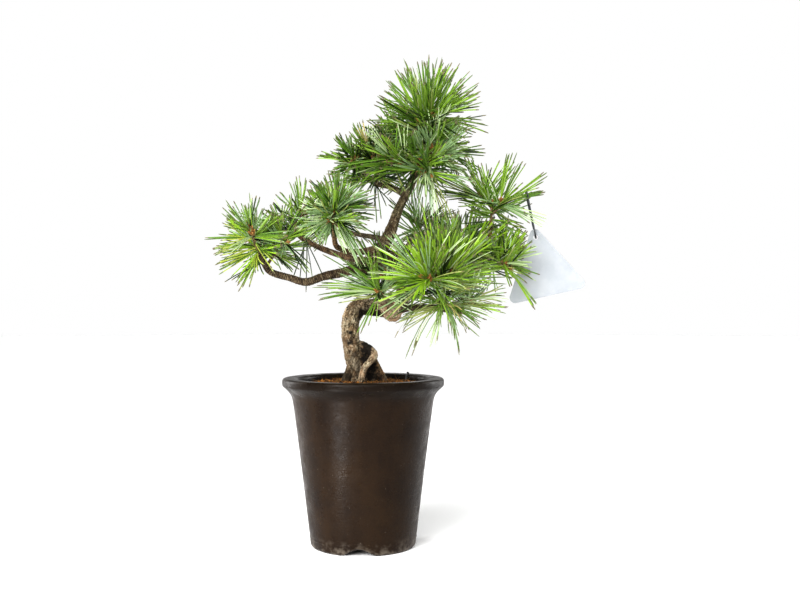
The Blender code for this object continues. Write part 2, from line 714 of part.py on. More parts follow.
class Grower:
    """Grows the masses side by side, a spray of each in turn, so that each keeps its own share of room."""

    def __init__(self, obstacles):
        self.obstacles = obstacles
        self.taken = {mass.name: [] for mass in MASSES}
        self.shells = {mass.name: [] for mass in MASSES}
        self.needles = {mass.name: [] for mass in MASSES}
        self.plans = {}

    def clear(self, owner, shell):
        """Whether a fattened spray or twig stays out of every limb and every other mass."""
        tree = tree_of(shell)
        if any(tree.overlap(other) for other in self.obstacles):
            return False
        middle = np.mean(shell[0], axis=0)
        for name, trees in self.taken.items():
            if name == owner:
                continue
            for centre, other in trees:
                if np.linalg.norm(middle - centre) < NEIGHBOUR_REACH and tree.overlap(other):
                    return False
        return True

    def crosses_own(self, owner, shell):
        """Whether its needles run through needles that the same mass already has."""
        tree = needle_tree(shell)
        return any(tree.overlap(other) for other in self.needles[owner])

    def keep(self, owner, shell):
        self.shells[owner].append(shell)
        self.taken[owner].append((np.mean(shell[0], axis=0), tree_of(shell)))

    def grow_shoots(self, mass, number):
        rng = np.random.default_rng(FIRST_SEED + number)
        kept = []
        for start, end, base, tip in shoots_of(mass, rng):
            path = np.array((start, end))
            radii = (base, tip)
            fat = tube(path, radii, SHOOT_SIDES, SPRAY_ROOM)
            if kept and not self.clear(mass.name, fat):
                continue
            self.keep(mass.name, tube(path, radii, SHOOT_SIDES))
            kept.append((start, end))
        self.plans[mass.name] = self.plan_sprays(mass, kept, rng)

    def plan_sprays(self, mass, shoots, rng):
        """Sprays up each shoot by the golden angle, from wide at its foot to narrow at its tip."""
        plan = []
        lengths = [np.linalg.norm(end - start) + SHARE_FOR_NEEDLE * mass.needle for start, end in shoots]
        for (start, end), length in zip(shoots, lengths):
            count = round(SPRAYS_PLANNED * mass.sprays * length / sum(lengths))
            phase = rng.uniform(0, 2 * math.pi)
            along = unit(end - start)
            for k in range(count):
                share = (k + 0.5) / count
                at = start + (end - start) * (BEARS_FROM + (BEARS_TO - BEARS_FROM) * share)
                polar = math.radians(mass.wide) * (1 - share) ** POLAR_CURVE + SPRAY_NARROW
                heading = turned_from(along, phase + k * GOLDEN_ANGLE, polar)
                size = mass.needle * rng.uniform(SHORTEST_SPRAY, 1.0)
                plan.append((at, heading, size, mass.droop, rng.uniform(0, 2 * math.pi)))
        order = rng.permutation(len(plan))
        plan = [plan[k] for k in order]
        if mass.carries:
            reach = np.array(mass.carries) - np.array(mass.tip)
            root = np.array(mass.tip) - STEM_RADIUS * unit(np.array(mass.tip) - np.array(mass.foot))
            plan.insert(0, (root, unit(reach), np.linalg.norm(reach), 0.0, math.pi / 6))
        return plan

    def grow_sprays(self):
        rounds = max(len(plan) for plan in self.plans.values())
        for turn in range(rounds):
            for mass in MASSES:
                plan = self.plans[mass.name]
                if turn >= len(plan) or len(self.needles[mass.name]) >= mass.sprays:
                    continue
                spray = spray_shell(*plan[turn])
                if self.crosses_own(mass.name, spray):
                    continue
                if self.clear(mass.name, spray_shell(*plan[turn], SPRAY_ROOM)):
                    self.keep(mass.name, spray)
                    self.needles[mass.name].append(needle_tree(spray))

    def fuse(self, mass):
        """The mass as one solid: its stem coped round its limb, and all that stands on it fused on."""
        stem, *rest = self.shells[mass.name]
        made = mesh_object("needles_" + mass.name, stem, BARK)
        boolean(made, parent_shells(mass.parent), "DIFFERENCE")
        drop_scraps(made)
        boolean(made, rest, "UNION", "MANIFOLD")
        dress(made, NEEDLE, smooth=False)
        return made


def tag_corner(number, radius):
    """A corner of the tag's triangle, or of one inside it, by its distance from the centre."""
    angle = math.pi / 2 + TAG_TURN + number * 2 * math.pi / 3
    return np.array((math.cos(angle), 0, math.sin(angle))) * radius + TAG_CENTRE


def make_tag():
    reach = TAG_SIDE / math.sqrt(3) - 2 * TAG_CORNER
    outline = []
    for number in range(3):
        middle = math.pi / 2 + TAG_TURN + number * 2 * math.pi / 3
        for step in np.linspace(-math.pi / 3, math.pi / 3, 4):
            angle = middle + step
            offset = np.array((math.cos(angle), 0, math.sin(angle))) * TAG_CORNER
            outline.append(tag_corner(number, reach) + offset)
    count = len(outline)
    half = np.array((0, TAG_THICKNESS / 2, 0))
    points = [point - half for point in outline] + [point + half for point in outline]
    faces = [tuple(range(count)), tuple(range(2 * count - 1, count - 1, -1))]
    faces += [(k, (k + 1) % count, count + (k + 1) % count, count + k) for k in range(count)]
    tag = mesh_object("tag", (points, faces), CARD)
    hole = tag_corner(0, TAG_HOLE_FROM_CENTRE)
    drill = tube([hole - 4 * half, hole + 4 * half], (TAG_HOLE_RADIUS, TAG_HOLE_RADIUS), 10)
    boolean(tag, [drill], "DIFFERENCE")
    dress(tag, CARD, smooth=False)
    return tag


def tie_top():
    """The point of the carrying spray that the tie hangs over."""
    mass = next(mass for mass in MASSES if mass.carries)
    return np.array(mass.tip) + (np.array(mass.carries) - np.array(mass.tip)) * TIE_TOP_AT


def make_tie():
    """A closed loop like a belt round two circles: one in the tag's hole, one round the needles."""
    low = tag_corner(0, TAG_HOLE_FROM_CENTRE)
    high = tie_top()
    along = unit(high - low)
    sideways = unit(np.array((0.0, 1.0, 0.0)) - along * along[1])
    circles = (
        (low + along * TIE_LOOP_LOW / 2, TIE_LOOP_LOW, -90, 4),
        (high - along * TIE_LOWERED, TIE_LOOP_HIGH, 90, 6),
    )
    curve = bpy.data.curves.new("tag_tie", "CURVE")
    curve.dimensions = "3D"
    curve.bevel_depth = TIE_RADIUS
    curve.bevel_resolution = 0
    path = []
    for centre, radius, middle, steps in circles:
        for angle in np.radians(np.linspace(middle - 84, middle + 84, steps + 1)):
            path.append(centre + radius * (along * math.sin(angle) + sideways * math.cos(angle)))
    spline = curve.splines.new("POLY")
    spline.points.add(len(path) - 1)
    for point, place in zip(spline.points, path):
        point.co = (*place, 1)
    spline.use_cyclic_u = True
    loop = bpy.data.objects.new("tag_tie_curve", curve)
    bpy.context.scene.collection.objects.link(loop)
    bpy.context.view_layer.update()
    mesh = bpy.data.meshes.new_from_object(loop.evaluated_get(bpy.context.evaluated_depsgraph_get()))
    bpy.data.objects.remove(loop, do_unlink=True)
    tie = bpy.data.objects.new("tag_tie", mesh)
    bpy.context.scene.collection.objects.link(tie)
    dress(tie, TIE)
    return tie


def main():
    clear_scene()
    solids = [make_pot(), make_soil(), make_trunk()]
    solids += [make_bough(bough) for bough in BOUGHS]
    solids += [make_tag(), make_tie()]
    grower = Grower([object_tree(obj) for obj in solids])
    for number, mass in enumerate(MASSES):
        grower.grow_shoots(mass, number)
    grower.grow_sprays()
    solids += [grower.fuse(mass) for mass in MASSES]
    whole = bpy.data.objects.new("potted_pine", None)
    bpy.context.scene.collection.objects.link(whole)
    for solid in solids:
        solid.parent = whole


if __name__ == "__main__":
    main()
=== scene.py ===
"""Looks of a Japanese white pine grown as a bonsai in a tall brown pot.

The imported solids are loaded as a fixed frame, and every visible surface is dressed round them:
the glazed pot, the soil with its granules, the plated bark of trunk, roots and boughs, the twigs,
buds and needles of each tuft, and the bare card tag on its tie. Metres, +Z up, origin at the
centre of the pot's underside. The front of the tree looks along -Y.
"""

import logging
import math
from dataclasses import dataclass
from enum import Enum

import bpy
import numpy as np
from mathutils import Euler, Matrix


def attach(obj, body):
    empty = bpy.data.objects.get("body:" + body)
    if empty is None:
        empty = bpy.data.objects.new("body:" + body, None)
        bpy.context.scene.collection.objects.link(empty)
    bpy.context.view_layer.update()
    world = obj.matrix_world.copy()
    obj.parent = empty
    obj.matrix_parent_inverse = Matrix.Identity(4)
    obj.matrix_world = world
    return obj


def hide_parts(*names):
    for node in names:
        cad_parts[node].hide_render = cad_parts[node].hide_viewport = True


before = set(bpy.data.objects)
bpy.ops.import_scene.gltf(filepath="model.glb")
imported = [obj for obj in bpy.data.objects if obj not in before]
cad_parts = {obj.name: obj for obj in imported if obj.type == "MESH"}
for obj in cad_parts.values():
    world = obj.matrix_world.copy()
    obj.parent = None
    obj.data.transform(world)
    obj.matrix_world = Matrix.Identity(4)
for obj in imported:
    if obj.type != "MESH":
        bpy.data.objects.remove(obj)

LOG = logging.getLogger("potted_pine")
TURN = 2 * math.pi
GOLDEN_ANGLE = math.pi * (3 - math.sqrt(5))

Colour = tuple[float, float, float, float]
Row = tuple[float, ...]
Array = np.ndarray
Draws = np.random.Generator
Material = bpy.types.Material
Piece = bpy.types.Object
Socket = bpy.types.NodeSocket
Shell = tuple[Array, list[Array]]


def metres(*lengths: float) -> Row:
    """Lengths in millimetres as metres."""
    return tuple(round(length / 1000, 7) for length in lengths)


def metre_rows(text: str) -> tuple[Row, ...]:
    """Rows in metres from text in millimetres, with commas between rows and spaces between numbers."""
    return tuple(metres(*map(float, row.split())) for row in text.split(","))


def tint(red: int, green: int, blue: int) -> Colour:
    """Linear colour of an 8-bit display colour: ((c + 0.055) / 1.055) to the power 2.4, or c / 12.92.

    Args:
        red: Display red, 0 to 255.
        green: Display green, 0 to 255.
        blue: Display blue, 0 to 255.

    Returns:
        The linear red, green, blue and an alpha of 1.
    """
    shown = np.array((red, green, blue)) / 255
    linear = np.where(shown > 0.04045, ((shown + 0.055) / 1.055) ** 2.4, shown / 12.92)
    return (*(float(part) for part in linear), 1.0)


class Recipe:
    """A Principled material whose nodes are laid by short calls."""

    def __init__(self, name: str, roughness: float, specular: float = 0.5) -> None:
        """Starts the material with its plain shader.

        Args:
            name: The material's name.
            roughness: Roughness all over, unless a socket is fed later.
            specular: Specular level all over.
        """
        self.material = bpy.data.materials.new(name)
        self.material.use_nodes = True
        self.tree = self.material.node_tree
        self.shader = self.tree.nodes["Principled BSDF"]
        self.shader.inputs["Roughness"].default_value = roughness
        self.shader.inputs["Specular IOR Level"].default_value = specular
        self.place = self.tree.nodes.new("ShaderNodeTexCoord").outputs["Object"]

    def node(self, kind: str, settings: dict | None = None, **inputs: object) -> bpy.types.Node:
        """Adds a node, sets its properties, and feeds its inputs with sockets or constants.

        Args:
            kind: The node's type name.
            settings: Properties to set on it.
            **inputs: Values or sockets by input name, with _ for a space.

        Returns:
            The node.
        """
        made = self.tree.nodes.new(kind)
        for key, value in (settings or {}).items():
            setattr(made, key, value)
        for key, value in inputs.items():
            self.feed(made.inputs[key.replace("_", " ")], value)
        return made

    def feed(self, socket: Socket, value: object) -> None:
        """Links a socket into this one, or sets it to a constant."""
        if isinstance(value, Socket):
            self.tree.links.new(value, socket)
        else:
            socket.default_value = value

    def stretched(self, x: float, y: float, z: float) -> Socket:
        """The object's coordinates, scaled by a factor along each axis."""
        return self.node("ShaderNodeMapping", Vector=self.place, Scale=(x, y, z)).outputs["Vector"]

    def noise(self, scale: float, detail: float = 4.0, place: Socket | None = None) -> Socket:
        """A cloud of noise between 0 and 1, about 1 / scale metres from crest to crest."""
        vector = self.place if place is None else place
        made = self.node("ShaderNodeTexNoise", Vector=vector, Scale=scale, Detail=detail, Roughness=0.6)
        return made.outputs["Fac"]

    def level(self, value: Socket, low: float, high: float, first: float = 0.0, last: float = 1.0) -> Socket:
        """The value carried from low..high to first..last, held at the ends."""
        ends = {"From_Min": low, "From_Max": high, "To_Min": first, "To_Max": last}
        return self.node("ShaderNodeMapRange", Value=value, **ends).outputs["Result"]

    def times(self, one: object, other: object) -> Socket:
        """The product of two values."""
        made = self.node("ShaderNodeMath", {"operation": "MULTIPLY"})
        self.feed(made.inputs[0], one)
        self.feed(made.inputs[1], other)
        return made.outputs["Value"]

    def mix(self, share: object, low: object, high: object) -> Socket:
        """The colour between low and high at this share."""
        made = self.node("ShaderNodeMix", {"data_type": "RGBA"})
        self.feed(made.inputs["Factor"], share)
        self.feed(made.inputs[6], low)
        self.feed(made.inputs[7], high)
        return made.outputs[2]

    def colour(self, value: object) -> None:
        """Feeds the shader's base colour."""
        self.feed(self.shader.inputs["Base Color"], value)

    def roughen(self, value: Socket) -> None:
        """Feeds the shader's roughness."""
        self.feed(self.shader.inputs["Roughness"], value)

    def bump(self, height: Socket, depth: float, strength: float = 1.0) -> None:
        """Raises the surface by depth metres where the height is 1."""
        made = self.node("ShaderNodeBump", Height=height, Distance=depth, Strength=strength)
        self.feed(self.shader.inputs["Normal"], made.outputs["Normal"])


@dataclass(frozen=True)
class Mottled:
    """A finish mottled between two colours, with a fine relief; it starts as matt earth.

    The cloud holds a noise's scale and detail and the two levels that it is stretched between,
    the relief a noise's scale and detail, its depth in metres and its strength.
    """

    name: str
    low: Colour
    high: Colour
    roughness: float = 0.95
    specular: float = 0.2
    cloud: Row = (420, 4, 0.36, 0.64)
    relief: Row = (1500, 3, 0.0004, 0.7)

    def material(self) -> Material:
        """Lays the cloud as colour and the relief as bump."""
        mix = Recipe(self.name, self.roughness, self.specular)
        scale, detail, first, last = self.cloud
        mix.colour(mix.mix(mix.level(mix.noise(scale, detail), first, last), self.low, self.high))
        scale, detail, depth, strength = self.relief
        mix.bump(mix.noise(scale, detail), depth, strength)
        return mix.material


def unit(vectors: Array) -> Array:
    """Vectors divided by their lengths, along the last axis."""
    return vectors / np.linalg.norm(vectors, axis=-1, keepdims=True)


def across(along: Array) -> tuple[Array, Array]:
    """Two unit vectors square to each direction and to each other.

    Args:
        along: Unit directions, with x, y, z on the last axis.

    Returns:
        side = unit(helper x along) and up = along x side, where helper is +Z, or +X for a steep one.
    """
    steep = np.abs(along[..., 2:3]) >= 0.9
    helper = np.where(steep, (1.0, 0.0, 0.0), (0.0, 0.0, 1.0))
    side = unit(np.cross(helper, along))
    return side, np.cross(along, side)


def swept(angles: Array, side: Array, up: Array) -> Array:
    """Points on unit circles: cos(a) side + sin(a) up."""
    return np.cos(angles)[..., None] * side + np.sin(angles)[..., None] * up


def turned_from(along: Array, azimuth: Array, polar: Array) -> Array:
    """Directions at a polar angle from a shoot: cos(p) along + sin(p) (cos(a) side + sin(a) up)."""
    return np.cos(polar)[..., None] * along + np.sin(polar)[..., None] * swept(azimuth, *across(along))


def run_lengths(path: Array) -> Array:
    """Distance from the path's first point to each point, along the path."""
    return np.concatenate(([0], np.cumsum(np.linalg.norm(np.diff(path, axis=0), axis=1))))


def squares_between(points: Array, others: Array) -> Array:
    """Squared distance from each point to each of the others: p p - 2 p q + q q."""
    return (points**2).sum(1)[:, None] - 2 * points @ others.T + (others**2).sum(1)


def smooth_rows(rows: tuple[Row, ...], step: float) -> Array:
    """A Catmull-Rom curve through the rows, sampled about every step; later columns ride along.

    Args:
        rows: Points as x, y, z and any further columns, or radius and height for a profile.
        step: Distance between samples, in metres.

    Returns:
        The samples, one in each row, ending on the last given row.
    """
    held = np.array(rows, float)
    held = np.vstack([2 * held[0] - held[1], held, 2 * held[-1] - held[-2]])
    found = []
    for a, b, c, d in zip(held, held[1:], held[2:], held[3:]):
        spans = max(1, round(float(np.linalg.norm((c - b)[:3])) / step))
        t = np.arange(spans)[:, None] / spans
        cubic = 1.5 * (b - c) + 0.5 * (d - a)
        found.append(b + 0.5 * t * (c - a) + t**2 * (a - 2.5 * b + 2 * c - 0.5 * d) + t**3 * cubic)
    return np.vstack([*found, held[-2:-1]])


def ripple(points: Array, wave: float, seed: int, waves: int = 7) -> Array:
    """A smooth random field: the mean of sines along random directions, times root 2.

    Args:
        points: Places, with x, y, z on the last axis.
        wave: Distance from crest to crest, in metres.
        seed: Which field.
        waves: How many sines are added.

    Returns:
        Values of about -1 to 1, one for each place.
    """
    rng = np.random.default_rng(seed)
    ways = unit(rng.normal(size=(waves, 3))) * rng.uniform(0.6, 1.5, (waves, 1)) * TURN / wave
    return np.sin(points @ ways.T + rng.uniform(0, TURN, waves)).mean(axis=-1) * math.sqrt(2)


def rough(points: Array, wave: float, seed: int, octaves: int = 4) -> Array:
    """Ripples of halving wave and falling height, added up: the sum of 0.6 ** k ripple(wave / 2 ** k)."""
    return sum(0.6**k * ripple(points, wave / 2**k, seed + 31 * k, 9) for k in range(octaves))


def ring_faces(rings: int, sides: int, looped: bool = False) -> Array:
    """Four-sided faces of a grid of rings, closed round each ring.

    Args:
        rings: How many rings follow each other.
        sides: How many points each ring has.
        looped: Whether the last ring joins the first.

    Returns:
        Point numbers, four in each row.
    """
    first = np.arange(rings if looped else rings - 1)[:, None] * sides
    next_ring = (first + sides) % (rings * sides)
    here = np.arange(sides)
    after = (here + 1) % sides
    return np.stack((first + here, first + after, next_ring + after, next_ring + here), -1).reshape(-1, 4)


def pole_faces(ring_start: int, sides: int, pole: int, outward: bool) -> Array:
    """Three-sided faces from a ring to a pole; outward turns them to face on past the ring."""
    here = ring_start + np.arange(sides)
    after = ring_start + (np.arange(sides) + 1) % sides
    pair = (here, after) if outward else (after, here)
    return np.stack((*pair, np.full(sides, pole)), -1)


def lay_mesh(name: str, points: Array, *faces: Array) -> Piece:
    """A mesh object from arrays, linked into the scene with its place in its mesh.

    Args:
        name: The piece's name.
        points: Places, x, y, z in each row.
        *faces: Point numbers, one array for each number of corners.

    Returns:
        The object, shaded smooth.
    """
    sizes = np.concatenate([np.full(len(part), part.shape[1]) for part in faces])
    corners = np.concatenate([part.reshape(-1) for part in faces]).astype(np.int32)
    starts = np.concatenate(([0], np.cumsum(sizes)[:-1])).astype(np.int32)
    mesh = bpy.data.meshes.new(name)
    mesh.vertices.add(len(points))
    mesh.vertices.foreach_set("co", np.ascontiguousarray(points, np.float32).reshape(-1))
    mesh.loops.add(len(corners))
    mesh.loops.foreach_set("vertex_index", corners)
    mesh.polygons.add(len(sizes))
    mesh.polygons.foreach_set("loop_start", starts)
    mesh.update(calc_edges=True)
    mesh.shade_smooth()
    made = bpy.data.objects.new(name, mesh)
    bpy.context.scene.collection.objects.link(made)
    return made


def capped_faces(rings: int, sides: int) -> list[Array]:
    """Faces of a grid of rings with a pole at each end, where the two poles are numbered last."""
    count = rings * sides
    first, last = pole_faces(0, sides, count, False), pole_faces(count - sides, sides, count + 1, True)
    return [ring_faces(rings, sides), first, last]


def turned_surface(profile: Array, segments: int) -> Shell:
    """A closed surface turned round Z: point (r cos(a), r sin(a), z) for each profile row and angle.

    Args:
        profile: Radius and height in each row, from the lower pole out, up and in to the upper pole.
        segments: How many steps make the full turn.

    Returns:
        The points, ring by ring with the two poles last, and the faces.
    """
    rings = profile[1:-1]
    angles = TURN * np.arange(segments) / segments
    grid = np.empty((len(rings), segments, 3))
    grid[..., 0] = rings[:, :1] * np.cos(angles)
    grid[..., 1] = rings[:, :1] * np.sin(angles)
    grid[..., 2] = rings[:, 1:2]
    points = np.vstack([grid.reshape(-1, 3), [(0, 0, profile[0, 1])], [(0, 0, profile[-1, 1])]])
    return points, capped_faces(len(rings), segments)


def carried_frames(path: Array, looped: bool = False) -> tuple[Array, Array, Array]:
    """The tangent, side and up of each point of a path, carried along it without twist.

    Args:
        path: Points in order.
        looped: Whether the path closes on itself.

    Returns:
        Three arrays of unit vectors, a row for each point.
    """
    if looped:
        tangents = unit(np.roll(path, -1, axis=0) - np.roll(path, 1, axis=0))
    else:
        tangents = unit(np.gradient(path, axis=0))
    sides = np.empty_like(tangents)
    side = across(tangents[0])[0]
    for number, tangent in enumerate(tangents):
        side = side - tangent * (side @ tangent)
        side = sides[number] = side / np.linalg.norm(side)
    return tangents, sides, np.cross(tangents, sides)


def tube_surface(path: Array, radii: Array, sides: int, looped: bool = False) -> Shell:
    """A closed tube: centre + radius (cos(a) side + sin(a) up), with its ends drawn to poles.

    Args:
        path: Centre of each ring.
        radii: Radius of each ring, or of each point of each ring.
        sides: How many points each ring has.
        looped: Whether the tube closes on itself.

    Returns:
        The points and the faces.
    """
    tangents, side, up = carried_frames(path, looped)
    around = swept(TURN * np.arange(sides) / sides, side[:, None], up[:, None])
    reach = np.asarray(radii, float)
    reach = reach[:, None] if reach.ndim == 1 else reach
    points = (path[:, None] + reach[..., None] * around).reshape(-1, 3)
    if looped:
        return points, [ring_faces(len(path), sides, True)]
    low = path[0] - 0.5 * tangents[0] * reach[0].mean()
    high = path[-1] + 0.5 * tangents[-1] * reach[-1].mean()
    return np.vstack([points, low, high]), capped_faces(len(path), sides)


def round_profile(centre: Row, radius: float, first: float, last: float, steps: int) -> Array:
    """A round stretch of a profile: centre + radius (cos(a), sin(a)), with a in degrees."""
    angles = np.radians(np.linspace(first, last, steps + 1))
    return np.stack((centre[0] + radius * np.cos(angles), centre[1] + radius * np.sin(angles)), -1)


def joined(shells: list[Shell]) -> Shell:
    """Several shells as one set of points and faces, with each shell's faces counted on."""
    starts = np.cumsum([0] + [len(points) for points, _ in shells[:-1]])
    points = np.vstack([points for points, _ in shells])
    faces = [part + start for start, (_, parts) in zip(starts, shells) for part in parts]
    quads = [part for part in faces if part.shape[1] == 4]
    threes = [part for part in faces if part.shape[1] == 3]
    return points, [np.vstack(parts) for parts in (quads, threes) if parts]


@dataclass
class Strands:
    """Many slim strands held as whole arrays, a row for each.

    The centre line at a share t of the length is root + reach t + bend t squared.
    """

    roots: Array
    reaches: Array
    bends: Array
    girths: Array
    rolls: Array

    def centres(self, shares: Array) -> Array:
        """Centre line of every strand at these shares, as strand by share by x, y, z."""
        t = shares[None, :, None]
        return self.roots[:, None] + self.reaches[:, None] * t + self.bends[:, None] * t**2

    def chosen(self, rows: Array) -> "Strands":
        """The strands of these rows or of this mask."""
        parts = (self.roots, self.reaches, self.bends, self.girths, self.rolls)
        return Strands(*(part[rows] for part in parts))

    def part(self, first: Array, last: Array) -> "Strands":
        """Each strand between two shares of its length: the same curve, counted from one to the other."""
        start, span = first[:, None], (last - first)[:, None]
        roots = self.roots + self.reaches * start + self.bends * start**2
        reaches = (self.reaches + 2 * self.bends * start) * span
        return Strands(roots, reaches, self.bends * span**2, self.girths, self.rolls)

    def mesh(self, name: str, shares: Row, profile: Row, sides: int) -> Piece:
        """One closed mesh of all the strands, each drawn to a point at its end.

        Ring k of a strand is centre(t) + girth profile (cos(a) side + sin(a) up), a = roll + turn k / sides.

        Args:
            name: The piece's name.
            shares: Share of the length where each ring lies, and last the point's.
            profile: Share of the girth at each ring, without the point.
            sides: How many corners a ring has.

        Returns:
            The object.
        """
        count, rings = len(self.roots), len(profile)
        centres = self.centres(np.array(shares))
        side, up = across(unit(self.reaches))
        around = swept(self.rolls[:, None] + TURN * np.arange(sides) / sides, side[:, None], up[:, None])
        girth = self.girths[:, None, None, None] * np.array(profile)[None, :, None, None]
        body = (centres[:, :rings, None] + girth * around[:, None]).reshape(count, -1, 3)
        points = np.concatenate([body, centres[:, rings:]], axis=1)
        each = rings * sides + 1
        starts = (np.arange(count) * each)[:, None, None]
        walls = (ring_faces(rings, sides)[None] + starts).reshape(-1, 4)
        tips = (pole_faces((rings - 1) * sides, sides, each - 1, True)[None] + starts).reshape(-1, 3)
        foot = (np.arange(sides)[::-1][None] + np.arange(count)[:, None] * each).reshape(-1, sides)
        return lay_mesh(name, points.reshape(-1, 3), walls, tips, foot)


def all_strands(parts: list[Strands]) -> Strands:
    """Several sets of strands as one."""
    names = ("roots", "reaches", "bends", "girths", "rolls")
    return Strands(*(np.concatenate([getattr(part, name) for part in parts]) for name in names))


def dress(piece: Piece, material: Material, stands_for: tuple[str, ...] = ()) -> Piece:
    """Gives a piece its material and its place on the root body, and hides the imported parts that it stands
    for.
    """
    piece.data.materials.clear()
    piece.data.materials.append(material)
    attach(piece, "root")
    if stands_for:
        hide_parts(*stands_for)
    LOG.info("%s: %d faces", piece.name, len(piece.data.polygons))
    return piece


@dataclass(frozen=True)
class DarkGlaze:
    """Dark brown satin glaze, mottled, with lime specks and foot, a neck and lip darkened by painted shade,
    and a worn crest on the lip.
    """

    deep: Colour = tint(24, 14, 7)
    warm: Colour = tint(39, 26, 13)
    lime: Colour = tint(104, 96, 86)
    worn: Colour = tint(72, 60, 48)
    # The dark brown of the painted shade on the neck and lip.
    painted_lip_shade: Colour = tint(16, 10, 5)

    def material(self) -> Material:
        """Mottled colour with runs, specks, foot, painted shade from the neck up, a worn crest, uneven gloss
        and throwing lines.
        """
        mix = Recipe("dark_glaze", 0.34, 0.12)
        cloud = mix.level(mix.noise(26, 6), 0.35, 0.68)
        runs = mix.level(mix.noise(9, 5, mix.stretched(9, 9, 0.7)), 0.4, 0.7, 0.0, 0.55)
        colour = mix.mix(cloud, self.deep, self.warm)
        colour = mix.mix(runs, colour, self.warm)
        height = mix.node("ShaderNodeSeparateXYZ", Vector=mix.place).outputs["Z"]
        foot = mix.times(mix.level(height, 0.001, 0.014, 0.75, 0.0), mix.level(mix.noise(140, 5), 0.46, 0.64))
        specks = mix.level(mix.noise(620, 2), 0.735, 0.76, 0.0, 0.8)
        crest = mix.times(
            mix.level(height, 0.1522, 0.1542, 0.0, 0.25), mix.level(mix.noise(90, 5), 0.42, 0.6)
        )
        # Painted shade: the colour darkens from just below the cove and stays dark over the whole lip.
        colour = mix.mix(mix.level(height, 0.136, 0.146, 0.0, 0.7), colour, self.painted_lip_shade)
        colour = mix.mix(foot, colour, self.lime)
        colour = mix.mix(specks, colour, self.lime)
        colour = mix.mix(crest, colour, self.worn)
        mix.colour(colour)
        mix.roughen(mix.level(mix.noise(95, 6), 0.34, 0.66, 0.22, 0.46))
        thrown = mix.noise(900, 4, mix.stretched(0.12, 0.12, 1))
        mix.bump(mix.times(mix.noise(420, 4), thrown), 0.0005, 0.8)
        return mix.material


